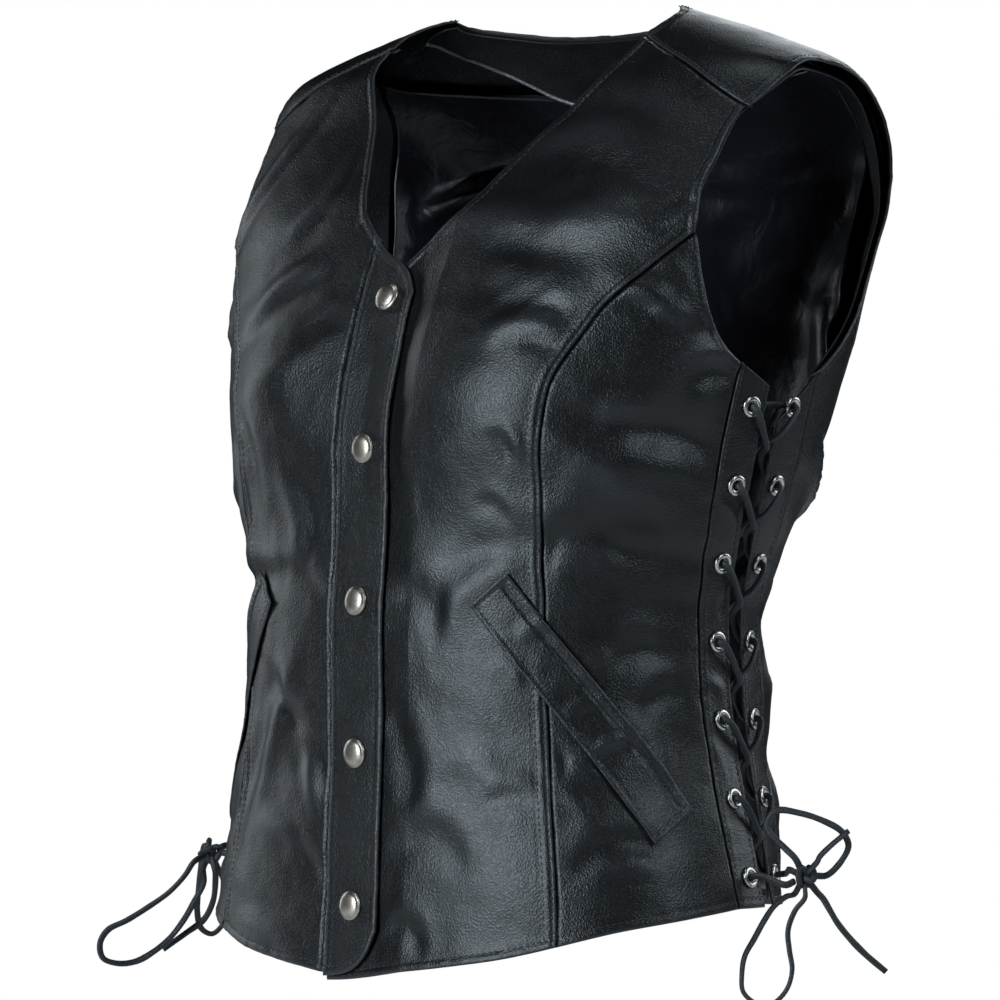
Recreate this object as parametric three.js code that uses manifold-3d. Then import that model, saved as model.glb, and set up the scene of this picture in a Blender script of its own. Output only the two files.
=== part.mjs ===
// Women's leather biker vest with five snaps, side lacing and slanted welt pockets.
// It keeps the hollow form it has when worn, with the neck, armholes and hem open.
// Millimetres, +Z up. The chest faces -Y and the wearer's left is +X.
// The origin lies between the shoulders, level with the middle of the straps.

import * as THREE from 'three';
import { mergeVertices } from 'three/addons/utils/BufferGeometryUtils.js';
import Module from 'manifold-3d';

const wasm = await Module();
wasm.setup();

// Driving dimensions

const LEATHER = 1.6;
const FACING = 1.2;
const LINING = 1.0;
const SEAM_GAP = 0.3;

const PLACKET_HALF_WIDTH = 18;
const PLACKET_RISE = 0.6;
const PLACKET_THICKNESS = 1.9;
const UNDERLAP_DIP = 2.1;
const UNDERLAP_RAMP = 36;

const FACING_DEPTH = 3.4;
const LINING_DEPTH = 6.5;
const ARMHOLE_FACING_WIDTH = 25;
const NECK_FACING_WIDTH = { shoulder: 20, back: 52 };

const WELT_WIDTH = 25.6;
const WELT_THICKNESS = 1.2;
const WELT_RISE = 2.0;

const SNAP_DIAMETER = 15;
const SNAP_HEIGHT = 3.4;
const SNAP_SEAT = 0.5;
const SNAP_TOP_Z = -132;
const SNAP_PITCH = 77.7;
const SNAP_COUNT = 5;

const STRIP_WIDTH = 22;
const STRIP_SPACE = 10;
const EYELET_INSET = 12.5;
const EYELET_COUNT = 7;
const EYELET_TOP_Z = -189;
const EYELET_PITCH = 39.6;
const EYELET_HOLE = 5.3;
const EYELET_FLANGE = 11;
const EYELET_BARREL = 6.4;
const EYELET_CUT = 7.8;

const LACE_DIAMETER = 3.4;
const LACE_STEP = 2.5 * LACE_DIAMETER;
const LACE_OUT = { through: 2.4, clear: 5.6 };
const LACE_IN = { through: -3.9, clear: -5.8 };
const LINING_TUCK = { hem: 8, side: 1, armhole: 2.5 };
const BUST = { x: 82, z: -178, across: 52, up: 48, lift: 13 };

// Horizontal sections of the worn form, from the shoulder ridge down.
// Columns: height, half width, front depth, back depth, centre, front and back squareness.
const SECTION_COLUMNS = ['z', 'halfWidth', 'front', 'back', 'centre', 'frontSquare', 'backSquare'];
const SECTIONS = [
  [22, 60, 6, 4, 0, 2.3, 2.3],
  [18, 86, 16, 12, 0, 2.4, 2.4],
  [10, 116, 34, 26, 0, 2.5, 2.6],
  [0, 146, 47, 38, 0, 2.6, 2.9],
  [-12, 177, 58, 50, 0, 2.7, 3.4],
  [-22, 188, 64, 62, 0, 2.8, 3.3],
  [-38, 193, 74, 77, 0, 2.8, 3.2],
  [-60, 194, 90, 90, -1, 2.8, 3.2],
  [-85, 192, 106, 97, -4, 2.8, 3.1],
  [-110, 188, 112, 99, -10, 2.75, 3.0],
  [-135, 186, 117, 99, -14, 2.65, 2.8],
  [-160, 183, 119, 99, -18, 2.5, 2.7],
  [-184, 179, 121, 102, -22, 2.4, 2.45],
  [-207, 174, 121, 103, -26, 2.3, 2.35],
  [-235, 167, 117, 103, -31, 2.3, 2.3],
  [-265, 157, 113, 102, -37, 2.25, 2.2],
  [-293, 150, 111, 101, -42, 2.2, 2.2],
  [-330, 150, 109, 105, -44, 2.2, 2.2],
  [-366, 154, 107, 109, -46, 2.2, 2.2],
  [-405, 163, 106, 107, -49, 2.2, 2.2],
  [-440, 171, 104, 104, -52, 2.2, 2.2],
  [-490, 178, 106, 104, -54, 2.2, 2.2],
];

// Seams and edges on the wearer's left; the right side mirrors them.
// Columns: height, distance from the centre front along the leather.
const PRINCESS_SEAM = [
  [-460, 126], [-416, 122], [-379, 117], [-343, 114], [-292, 112], [-266, 110], [-226, 112],
  [-202, 115], [-174, 121], [-148, 134], [-136, 141], [-123, 154], [-108, 169], [-101, 177],
];
const LACE_SEAM = [
  [-442, 225], [-427, 221], [-408, 215], [-384, 207.5], [-360, 202], [-335, 197], [-291, 195.5],
  [-262, 197], [-241, 200], [-219, 206], [-199, 212], [-182, 216], [-167, 217.5],
];
const ARMHOLE_FRONT_LOW = [[-101, 177], [-110, 181], [-126, 187.5], [-142, 195], [-158, 206], [-167, 217.5]];
const ARMHOLE_FRONT_HIGH = [[-101, 177], [-93, 176], [-78, 172.5], [-64, 173], [-49, 173], [-38, 175.5]];
const NECKLINE_LOW = [[-126, -18], [-117, 0], [-112, 7], [-102, 18], [-92, 29.7], [-87, 36]];
const NECKLINE_HIGH = [[-87, 36], [-69, 48.4], [-39, 67.8], [-14, 87], [3, 92.6]];
const HEM_FRONT = [[-481, -18], [-480, 0], [-477.5, 18], [-475, 36]];
const HEM_MIDDLE = [[-475, 36], [-472, 61], [-467, 95], [-460, 126]];
const HEM_SIDE = [[-460, 126], [-452, 159], [-446, 195], [-442, 225]];
const PLACKET_TOP = [[-102, -18], [-109, -8], [-114, 3], [-119.5, 11], [-129, 18]];
const PLACKET_BOTTOM = [[-479, -18], [-478, -8], [-475, 3], [-467, 12], [-455, 18]];

// Edges over the shoulder and round the back.
// Columns: turn from the centre front in degrees, height.
const YOKE_SEAM = [[55.5, -38], [50, -31], [44.5, -21], [40.5, -8], [38.5, 3]];
const NECK_OVER_STRAP = [[112, 17.6], [100, 18.4], [90, 18.7], [75, 17.6], [60, 14.5], [48, 9.5], [38.5, 3]];
const BACK_NECK = [[112, 17.6], [130, 15.3], [150, 12], [165, 9.2], [180, 8]];
// The back's edge of the wearer's right armhole has swung forward.
const ARM_OVER_STRAP = {
  left: [[122, -35], [117, -23], [106, -15.5], [90, -12.5], [76, -15], [64, -24], [55.5, -38]],
  right: [[109, -35], [105.5, -24], [98, -16.5], [87, -12.8], [75, -15.5], [64, -24], [55.5, -38]],
};
const ARMHOLE_BACK = {
  left: [
    [99.5, -173], [105.6, -163], [114, -145], [120, -124], [124, -101], [124.5, -79], [124, -55],
    [122, -35],
  ],
  right: [
    [99.5, -173], [101.5, -163], [104, -145], [105.3, -124], [105.5, -101], [105.5, -79], [106.5, -55],
    [109, -35],
  ],
};
const BACK_HEM_DROP = 5;
// Heights of a lacing strip's top corners, the front one first.
const FRONT_STRIP_TOP = [-167, -179];
const BACK_STRIP_TOP = [-197, -173];

// The largest folds, as soft ridges and troughs in the leather.
// Columns: height, distance from the centre front, lean from vertical in degrees,
// half length, half width, height of the ridge.
const FOLDS = [
  [-120, -70, 58, 46, 9, 2.6],
  [-140, -88, 60, 40, 8, -2.2],
  [-165, -60, 66, 34, 9, 1.8],
  [-283, -160, 86, 34, 9, -4.2],
  [-302, -150, 82, 34, 11, 2.8],
  [-352, -70, 28, 44, 9, 2.4],
  [-372, -98, 24, 50, 10, -2.4],
  [-382, -150, 62, 46, 11, 2.6],
  [-425, -160, 70, 32, 10, 2.4],
  [-130, 160, 70, 30, 7, 1.8],
  [-200, 165, 78, 40, 9, -2.4],
  [-214, 150, 80, 42, 9, 2.0],
  [-262, 160, 84, 46, 8, -2.6],
  [-250, 145, 80, 40, 9, 2.0],
  [-385, 120, 48, 36, 8, -2.0],
  [-400, 138, 54, 36, 9, 2.2],
  [-303, 306, 86, 38, 10, -5.0],
  [-336, 308, 84, 38, 13, 4.0],
  [-369, 306, 86, 38, 10, -4.4],
  [-396, 306, 82, 36, 12, 3.2],
  [-236, 318, 60, 42, 10, 3.2],
  [-262, 322, 62, 42, 10, -2.8],
  [-300, -308, 88, 38, 10, -4.6],
  [-340, -310, 84, 38, 13, 3.6],
  [-378, -306, 86, 38, 10, -3.6],
  [-240, -320, 62, 42, 10, 2.8],
  [-290, 380, 88, 60, 12, -2.4],
  [-318, -372, 84, 56, 12, 2.2],
  [-80, 372, 30, 60, 14, 1.8],
  [-84, -376, 28, 56, 14, 1.6],
];

// How far a lace stands off the leather on its way from one eyelet to the next.
// Columns: share of the way, height over the outer face.
const LACE_OVER = [
  [0, 2.4], [0.06, 4.2], [0.328, 2.7], [0.5, 1.3], [0.58, -2.1], [0.672, -5.6], [0.94, -5.9], [1, -3.9],
];

// Bows: where each knot hangs, the way each lace leaves it, and the route of each free lace.
const KNOT_SIZE = { x: 13, y: 12, z: 11 };
const BOWS = {
  left: {
    knot: [190, -22, -426],
    lace: [[-0.32, -0.88, -0.35], [-0.96, 0.11, 0.25]],
    free: [
      {
        name: 'bow_loop_left_upper',
        from: [-0.14, -0.5, 0.86],
        route: [
          [183, -30, -411], [175, -34, -401], [178, -31, -393], [189, -24, -394], [199, -17, -398],
          [206, -12, -403], [208, -9, -410], [205, -10, -417],
        ],
        to: [0.55, 0.83, 0.05],
      },
      {
        name: 'bow_loop_left_lower',
        from: [-0.58, -0.07, -0.81],
        route: [
          [183, -28, -436], [179, -33, -441], [177, -38, -448], [174, -42, -457], [171, -46, -466],
          [170, -47, -475], [170, -46, -484], [174, -40, -490], [179, -34, -490], [184, -29, -483],
          [186, -27, -473], [185, -28, -463], [185, -29, -453], [188, -27, -443],
        ],
        to: [0.21, -0.21, -0.95],
      },
      {
        name: 'bow_tail_left_short',
        from: [0.71, 0.07, 0.7],
        route: [[199, -21, -416], [205, -19, -410], [210, -16, -405]],
      },
      {
        name: 'bow_tail_left_long',
        from: [0.25, 0.61, -0.76],
        route: [
          [195, -14, -437], [199, -13, -443], [202, -11, -449], [207, -7, -457], [212, -1, -465],
          [219, 7, -474],
        ],
      },
    ],
  },
  right: {
    knot: [-198, -71, -424],
    lace: [[0.91, 0.41, -0.1], [0.18, 0.95, 0.25]],
    free: [
      {
        name: 'bow_loop_right_front',
        from: [-0.23, -0.84, -0.5],
        route: [
          [-205, -83, -437], [-211, -89, -446], [-219, -97, -454], [-227, -105, -461], [-234, -112, -466],
          [-237, -115, -473], [-236, -114, -481], [-231, -108, -484], [-225, -100, -483], [-219, -93, -478],
          [-214, -86, -471], [-209, -80, -461], [-206, -75, -451], [-203, -71, -441],
        ],
        to: [-0.53, 0.04, -0.85],
      },
      {
        name: 'bow_loop_right_back',
        from: [-0.46, 0.74, -0.5],
        route: [
          [-203, -59, -436], [-207, -51, -445], [-210, -47, -456], [-214, -47, -465], [-218, -51, -470],
          [-221, -56, -467], [-219, -61, -457], [-216, -63, -447], [-213, -64, -435],
        ],
        to: [-0.87, 0.45, 0.2],
      },
      {
        name: 'bow_tail_right',
        from: [0.32, 0.04, -0.95],
        route: [
          [-197, -68, -440], [-201, -66, -451], [-206, -68, -461], [-212, -75, -468], [-220, -85, -477],
        ],
      },
    ],
  },
};

// Colours and finishes

const black = { leather: 0x15171a, facing: 0x101113, satin: 0x0c0c12, lace: 0x15171c };
const MATERIALS = {
  leather: new THREE.MeshStandardMaterial({ color: black.leather, roughness: 0.42, metalness: 0 }),
  facing: new THREE.MeshStandardMaterial({ color: black.facing, roughness: 0.5, metalness: 0 }),
  satin: new THREE.MeshStandardMaterial({ color: black.satin, roughness: 0.3, metalness: 0 }),
  lace: new THREE.MeshStandardMaterial({ color: black.lace, roughness: 0.5, metalness: 0 }),
  snap: new THREE.MeshStandardMaterial({ color: 0x8c8479, roughness: 0.35, metalness: 1 }),
  eyelet: new THREE.MeshStandardMaterial({ color: 0xa9a9a6, roughness: 0.28, metalness: 1 }),
};

// Worn form

const bySection = SECTIONS.map((row) => Object.fromEntries(row.map((v, i) => [SECTION_COLUMNS[i], v])));
bySection.reverse();

function slope(index, name) {
  const low = bySection[Math.max(index - 1, 0)];
  const high = bySection[Math.min(index + 1, bySection.length - 1)];
  return (high[name] - low[name]) / (high.z - low.z);
}

function section(z) {
  const height = THREE.MathUtils.clamp(z, bySection[0].z, bySection.at(-1).z);
  let index = bySection.findIndex((row) => row.z >= height) - 1;
  index = Math.max(index, 0);
  const low = bySection[index];
  const high = bySection[index + 1];
  const step = high.z - low.z;
  const t = (height - low.z) / step;
  const mix = { z };
  for (const name of SECTION_COLUMNS.slice(1)) {
    mix[name] = low[name] * (1 + 2 * t) * (1 - t) ** 2 + high[name] * t * t * (3 - 2 * t)
      + step * (slope(index, name) * t * (1 - t) ** 2 + slope(index + 1, name) * t * t * (t - 1));
  }
  return mix;
}

function ringPoint(ring, turn) {
  const angle = THREE.MathUtils.degToRad(Math.abs(turn));
  const sine = Math.sin(angle);
  const cosine = Math.cos(angle);
  const square = cosine > 0 ? ring.frontSquare : ring.backSquare;
  const depth = cosine > 0 ? ring.front : ring.back;
  const reach = (Math.abs(sine) ** square + Math.abs(cosine) ** square) ** (-1 / square);
  const x = ring.halfWidth * sine * reach;
  let y = ring.centre - depth * cosine * reach;
  if (cosine > 0) {
    const aside = (x - BUST.x) / BUST.across;
    const above = (ring.z - BUST.z) / BUST.up;
    y -= BUST.lift * Math.exp(-aside * aside - above * above) * Math.sqrt(cosine);
  }
  return [turn < 0 ? -x : x, y];
}

const RING_STEP = 1;
const ringCache = new Map();

function ringArcs(z) {
  const key = z.toFixed(2);
  if (ringCache.has(key)) return ringCache.get(key);
  const ring = section(z);
  const arcs = [0];
  let last = ringPoint(ring, 0);
  for (let turn = RING_STEP; turn <= 180; turn += RING_STEP) {
    const next = ringPoint(ring, turn);
    arcs.push(arcs.at(-1) + Math.hypot(next[0] - last[0], next[1] - last[1]));
    last = next;
  }
  ringCache.set(key, arcs);
  return arcs;
}

function turnAt(z, along) {
  const arcs = ringArcs(z);
  const target = Math.abs(along);
  let index = arcs.findIndex((arc) => arc > target);
  if (index < 1) index = arcs.length - 1;
  const share = (target - arcs[index - 1]) / (arcs[index] - arcs[index - 1]);
  return Math.sign(along) * (index - 1 + share) * RING_STEP;
}

function alongAt(z, turn) {
  const arcs = ringArcs(z);
  const place = Math.min(Math.abs(turn) / RING_STEP, arcs.length - 1.001);
  const index = Math.floor(place);
  return Math.sign(turn) * (arcs[index] + (arcs[index + 1] - arcs[index]) * (place - index));
}

function foldHeight(z, turn) {
  const along = alongAt(z, turn);
  const half = ringArcs(z).at(-1);
  let height = 0;
  for (const [foldZ, foldAlong, lean, halfLength, halfWidth, ridge] of FOLDS) {
    let aside = along - foldAlong;
    if (Math.abs(aside) > half) aside -= Math.sign(aside) * 2 * half;
    const angle = THREE.MathUtils.degToRad(lean) * Math.sign(foldAlong);
    const up = z - foldZ;
    const length = (up * Math.cos(angle) - aside * Math.sin(angle)) / halfLength;
    const width = (up * Math.sin(angle) + aside * Math.cos(angle)) / halfWidth;
    height += ridge * Math.exp(-length * length - width * width);
  }
  return height;
}

function smoothPoint(turn, z) {
  const [x, y] = ringPoint(section(z), turn);
  return new THREE.Vector3(x, y, z);
}

function outward(turn, z) {
  const round = smoothPoint(turn + 0.5, z).sub(smoothPoint(turn - 0.5, z));
  const up = smoothPoint(turn, z + 0.5).sub(smoothPoint(turn, z - 0.5));
  return round.cross(up).normalize();
}

// A point of the vest: a turn and a height on the form, moved out along its normal.
function point(turn, z, offset = 0) {
  return smoothPoint(turn, z).addScaledVector(outward(turn, z), offset + foldHeight(z, turn));
}

// Edges are lists of places on the form, held as turn times TURN_SCALE, and height.

const TURN_SCALE = 2.4;
const CURVE_SAMPLES = 16;

function place(turn, z) {
  return new THREE.Vector2(turn * TURN_SCALE, z);
}

function spaced(places, count) {
  if (places.length === 2) return new THREE.LineCurve(...places).getSpacedPoints(count);
  return new THREE.SplineCurve(places).getSpacedPoints(count);
}

// Points along an edge, evenly spaced on the leather itself.
function spacedOnForm(rows, count) {
  const curve = new THREE.SplineCurve(rows.map(([turn, z]) => place(turn, z)));
  const fine = curve.getPoints(CURVE_SAMPLES * (rows.length - 1));
  const solid = fine.map((spot) => smoothPoint(spot.x / TURN_SCALE, spot.y));
  const lengths = [0];
  for (let k = 1; k < solid.length; k++) lengths.push(lengths[k - 1] + solid[k].distanceTo(solid[k - 1]));
  const result = [];
  for (let k = 0; k <= count; k++) {
    const target = (lengths.at(-1) * k) / count;
    let index = lengths.findIndex((length) => length >= target);
    index = THREE.MathUtils.clamp(index, 1, lengths.length - 1);
    const share = (target - lengths[index - 1]) / (lengths[index] - lengths[index - 1]);
    result.push(fine[index - 1].clone().lerp(fine[index], THREE.MathUtils.clamp(share, 0, 1)));
  }
  return result;
}

function seam(rows, count) {
  return spaced(rows.map(([z, along]) => place(turnAt(z, along), z)), count);
}

function overEdge(rows, count) {
  return spaced(rows.map(([turn, z]) => place(turn, z)), count);
}

function mirrored(edge) {
  return edge.map((spot) => new THREE.Vector2(-spot.x, spot.y));
}

function joined(...edges) {
  return edges.reduce((all, edge) => all.concat(edge.slice(1)), [edges[0][0]]);
}

// A patch fills four edges that share their corners, row by row from the bottom edge.
function patch({ bottom, top, start, end }) {
  const columns = bottom.length - 1;
  const rows = start.length - 1;
  const grid = [];
  for (let j = 0; j <= rows; j++) {
    const v = j / rows;
    const line = [];
    for (let i = 0; i <= columns; i++) {
      const u = i / columns;
      const blend = (name) => (1 - v) * bottom[i][name] + v * top[i][name]
        + (1 - u) * start[j][name] + u * end[j][name]
        - (1 - u) * (1 - v) * bottom[0][name] - u * (1 - v) * bottom[columns][name]
        - (1 - u) * v * top[0][name] - u * v * top[columns][name];
      line.push(new THREE.Vector2(blend('x'), blend('y')));
    }
    grid.push(line);
  }
  return grid;
}

function flipped(grid) {
  return grid.map((line) => mirrored(line).reverse());
}

// A wall is the patches' outer face, an inner face and the rim between them, in one body.
function wall(patches, { rise = 0, thickness = LEATHER } = {}) {
  const spots = [];
  const indexOf = new Map();
  const find = (spot) => {
    const key = `${spot.x.toFixed(3)},${spot.y.toFixed(3)}`;
    if (!indexOf.has(key)) {
      indexOf.set(key, spots.length);
      spots.push(spot);
    }
    return indexOf.get(key);
  };
  const faces = [];
  for (const grid of patches) {
    for (let j = 0; j + 1 < grid.length; j++) {
      for (let i = 0; i + 1 < grid[j].length; i++) {
        const [a, b] = [find(grid[j][i]), find(grid[j][i + 1])];
        const [c, d] = [find(grid[j + 1][i + 1]), find(grid[j + 1][i])];
        for (const face of [[a, b, c], [a, c, d]]) {
          if (new Set(face).size === 3) faces.push(face);
        }
      }
    }
  }
  const positions = [];
  const height = typeof rise === 'function' ? rise : () => rise;
  for (const inset of [0, thickness]) {
    for (const spot of spots) {
      const turn = spot.x / TURN_SCALE;
      positions.push(...point(turn, spot.y, height(turn, spot.y) - inset).toArray());
    }
  }
  const count = spots.length;
  const edges = new Map();
  const index = [];
  for (const [a, b, c] of faces) {
    index.push(a, b, c, a + count, c + count, b + count);
    for (const [from, to] of [[a, b], [b, c], [c, a]]) {
      const back = `${to},${from}`;
      if (edges.has(back)) edges.delete(back);
      else edges.set(`${from},${to}`, [from, to]);
    }
  }
  for (const [from, to] of edges.values()) {
    index.push(from, from + count, to + count, from, to + count, to);
  }
  const geometry = new THREE.BufferGeometry();
  geometry.setAttribute('position', new THREE.Float32BufferAttribute(positions, 3));
  geometry.setIndex(index);
  return geometry;
}

// Boolean cuts

function toManifold(geometry) {
  const bare = geometry.clone();
  bare.deleteAttribute('normal');
  bare.deleteAttribute('uv');
  const merged = mergeVertices(bare, 1e-4);
  return new wasm.Manifold(new wasm.Mesh({
    numProp: 3,
    vertProperties: new Float32Array(merged.attributes.position.array),
    triVerts: new Uint32Array(merged.index.array),
  }));
}

function fromManifold(solid) {
  const mesh = solid.getMesh();
  const geometry = new THREE.BufferGeometry();
  geometry.setAttribute('position', new THREE.BufferAttribute(mesh.vertProperties, 3));
  geometry.setIndex(new THREE.BufferAttribute(mesh.triVerts, 1));
  return geometry;
}

function cutAway(geometry, tools) {
  let solid = toManifold(geometry);
  for (const tool of tools) solid = solid.subtract(toManifold(tool));
  return fromManifold(solid);
}

// Scene graph

const vest = new THREE.Group();
vest.name = 'biker_vest';

function add(name, geometry, material) {
  const mesh = new THREE.Mesh(geometry, material);
  mesh.name = name;
  vest.add(mesh);
  return mesh;
}

const HEM_SIDE_Z = -442;
const STRIP_TOP_Z = -167;
const SIDES = [{ name: 'left', sign: 1 }, { name: 'right', sign: -1 }];
const forSide = (sign, patches) => (sign > 0 ? patches : patches.map(flipped));

// Fronts

const BODY_ROWS = 17;
const CHEST_ROWS = 7;

function heightOnEdge(rows, along) {
  const index = Math.max(1, rows.findIndex((row) => row[1] >= along));
  const [lowZ, low] = rows[index - 1];
  const [highZ, high] = rows[index];
  return lowZ + ((highZ - lowZ) * (along - low)) / (high - low);
}

function uprightLine(along) {
  const bottom = heightOnEdge(HEM_FRONT, along);
  const top = heightOnEdge(NECKLINE_LOW, along);
  const rows = [0, 1, 2, 3, 4, 5, 6].map((k) => [bottom + ((top - bottom) * k) / 6, along]);
  return seam(rows, BODY_ROWS);
}

function frontPatches(innerAlongs) {
  const middleColumns = 4;
  const patches = [];
  const alongs = [...innerAlongs, UNDERLAP_RAMP];
  for (let k = 0; k + 1 < alongs.length; k++) {
    const start = uprightLine(alongs[k]);
    const end = uprightLine(alongs[k + 1]);
    patches.push(start.map((spot, j) => [spot, end[j]]));
  }
  const inner = uprightLine(UNDERLAP_RAMP);
  const princess = seam(PRINCESS_SEAM, BODY_ROWS);
  const across = spaced([inner.at(-1), princess.at(-1)], middleColumns);
  const bottom = seam(HEM_MIDDLE, middleColumns);
  patches.push(patch({ bottom, top: across, start: inner, end: princess }));
  patches.push(patch({
    bottom: across,
    top: overEdge(YOKE_SEAM, middleColumns).reverse(),
    start: seam(NECKLINE_HIGH, CHEST_ROWS),
    end: seam(ARMHOLE_FRONT_HIGH, CHEST_ROWS),
  }));
  return patches;
}

function underlapDip(turn, z) {
  const along = alongAt(z, turn);
  const ramp = (along - PLACKET_HALF_WIDTH) / (UNDERLAP_RAMP - PLACKET_HALF_WIDTH);
  return -UNDERLAP_DIP * THREE.MathUtils.clamp(1 - ramp, 0, 1);
}

function addFronts() {
  const left = frontPatches([-PLACKET_HALF_WIDTH, 0, PLACKET_HALF_WIDTH]);
  add('front_left_panel', wall(left, { rise: underlapDip }), MATERIALS.leather);
  const right = frontPatches([PLACKET_HALF_WIDTH + SEAM_GAP]).map(flipped);
  add('front_right_panel', wall(right), MATERIALS.leather);
}

// The neighbouring piece starts one gap further along the leather.
function beside(edge, distance) {
  return edge.map((spot) => {
    const along = alongAt(spot.y, spot.x / TURN_SCALE);
    return place(turnAt(spot.y, along + distance), spot.y);
  });
}

function sidePatches() {
  const columns = 5;
  const princess = beside(seam(PRINCESS_SEAM, BODY_ROWS), SEAM_GAP);
  const lace = laceLine(0, HEM_SIDE_Z, STRIP_TOP_Z, BODY_ROWS);
  const bottom = seam(HEM_SIDE, columns);
  const top = seam(ARMHOLE_FRONT_LOW, columns);
  bottom[0] = princess[0];
  bottom[columns] = lace[0];
  top[0] = princess.at(-1);
  top[columns] = lace.at(-1);
  return [patch({ bottom, top, start: princess, end: lace })];
}

function addSidePanels() {
  for (const { name, sign } of SIDES) {
    add(`front_${name}_side_panel`, wall(forSide(sign, sidePatches())), MATERIALS.leather);
  }
}

// Placket

function addPlacket() {
  const columns = 4;
  const line = ({ bottom, top, along }) => {
    const shares = [0, 1, 2, 3, 4, 5, 6].map((k) => k / 6);
    return shares.map((t) => [bottom + (top - bottom) * t, along]);
  };
  const start = { bottom: PLACKET_BOTTOM[0][0], top: PLACKET_TOP[0][0], along: -PLACKET_HALF_WIDTH };
  const end = { bottom: PLACKET_BOTTOM.at(-1)[0], top: PLACKET_TOP.at(-1)[0], along: PLACKET_HALF_WIDTH };
  const grid = patch({
    bottom: seam(PLACKET_BOTTOM, columns),
    top: seam(PLACKET_TOP, columns),
    start: seam(line(start), BODY_ROWS),
    end: seam(line(end), BODY_ROWS),
  });
  add('placket', wall([grid], { rise: PLACKET_RISE, thickness: PLACKET_THICKNESS }), MATERIALS.leather);
}

// Snap caps, domed, down the middle of the placket.

function addSnaps() {
  const radius = SNAP_DIAMETER / 2;
  const profile = [
    [0, 0], [radius, 0], [radius, 0.9], [radius * 0.86, 2.1], [radius * 0.5, 3.0], [0, SNAP_HEIGHT],
  ];
  const sides = 12;
  const outline = profile.map(([distance, height]) => new THREE.Vector2(distance, height));
  for (let k = 0; k < SNAP_COUNT; k++) {
    const z = SNAP_TOP_Z - k * SNAP_PITCH;
    const geometry = new THREE.LatheGeometry(outline, sides);
    const mesh = add(`snap_cap_${k + 1}`, geometry, MATERIALS.snap);
    const normal = outward(0, z);
    mesh.position.copy(point(0, z, PLACKET_RISE + SNAP_SEAT));
    mesh.quaternion.setFromUnitVectors(new THREE.Vector3(0, 1, 0), normal);
  }
}

// Back, one piece from the hem up over both shoulders to the forward seams.

function seamPlace(z, extra) {
  const rows = [...LACE_SEAM].reverse();
  const index = Math.max(1, rows.findIndex((row) => row[0] <= z));
  const [highZ, high] = rows[index - 1];
  const [lowZ, low] = rows[index < rows.length ? index : rows.length - 1];
  const share = THREE.MathUtils.clamp((z - lowZ) / (highZ - lowZ), -0.5, 1.5);
  return low + (high - low) * share + extra;
}

function laceLine(extra, lowZ, highZ, count) {
  const stops = 12;
  const rows = [];
  for (let k = 0; k <= stops; k++) {
    const z = lowZ + ((highZ - lowZ) * k) / stops;
    rows.push([z, seamPlace(z, extra)]);
  }
  return seam(rows, count);
}

const YOKE_GAP = { turn: 0.2, z: 0.25 };
const BACK_EDGE = 2 * STRIP_WIDTH + STRIP_SPACE + SEAM_GAP;
const BACK_TOP_ROWS = 9;
const STRAP_COLUMNS = 5;
const NECK_COLUMNS = 4;

function backHem(startEdge, count) {
  const start = startEdge.x / TURN_SCALE;
  const stops = [0, 0.25, 0.5, 0.75, 1];
  const drop = (t) => BACK_HEM_DROP * Math.sin((t * Math.PI) / 2);
  const rows = stops.map((t) => [start + (180 - start) * t, HEM_SIDE_Z - drop(t)]);
  return overEdge(rows, count);
}

function halfBack(side) {
  const columns = STRAP_COLUMNS + NECK_COLUMNS;
  const [armBottom, ...armRows] = ARMHOLE_BACK[side];
  const laced = laceLine(BACK_EDGE, HEM_SIDE_Z, armBottom[1], BODY_ROWS);
  const level = spaced([laced.at(-1), place(180, armBottom[1])], columns);
  const lower = patch({
    bottom: backHem(laced[0], columns),
    top: level,
    start: laced,
    end: spaced([place(180, HEM_SIDE_Z - BACK_HEM_DROP), place(180, armBottom[1])], BODY_ROWS),
  });
  const armhole = armRows.map(([turn, z]) => place(turn, z));
  const arm = spaced([laced.at(-1), ...armhole], BACK_TOP_ROWS);
  const strapLine = spaced([arm.at(-1), place(...NECK_OVER_STRAP[0])], STRAP_COLUMNS);
  const upper = patch({
    bottom: level,
    top: joined(strapLine, spacedOnForm(BACK_NECK, NECK_COLUMNS)),
    start: arm,
    end: spaced([place(180, armBottom[1]), place(180, BACK_NECK.at(-1)[1])], BACK_TOP_ROWS),
  });
  const strapRows = 6;
  const yoke = overEdge(YOKE_SEAM.map(([turn, z]) => [turn + YOKE_GAP.turn, z + YOKE_GAP.z]), STRAP_COLUMNS);
  const overArm = overEdge(ARM_OVER_STRAP[side], strapRows);
  const overNeck = overEdge(NECK_OVER_STRAP, strapRows);
  overArm[strapRows] = yoke[0];
  overNeck[strapRows] = yoke.at(-1);
  const strap = patch({ bottom: strapLine, top: yoke, start: overArm, end: overNeck });
  return [lower, upper, strap];
}

// The mirrored half meets the first one at turn 180, which is the same line as turn -180.
function wrapped(grid) {
  return grid.map((line) => line.map((spot) => new THREE.Vector2(360 * TURN_SCALE + spot.x, spot.y)));
}

function addBack() {
  const other = halfBack('right').map(flipped).map(wrapped);
  add('back', wall([...halfBack('left'), ...other]), MATERIALS.leather);
}

// Lacing strips, four of them, with a hole cut for each eyelet.

function eyeletPlaces(extra) {
  const places = [];
  for (let k = 0; k < EYELET_COUNT; k++) {
    const z = EYELET_TOP_Z - k * EYELET_PITCH;
    places.push({ z, along: seamPlace(z, extra) });
  }
  return places;
}

const FRONT_EYELETS = eyeletPlaces(EYELET_INSET);
const BACK_EYELETS = eyeletPlaces(2 * STRIP_WIDTH + STRIP_SPACE - EYELET_INSET);

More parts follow.
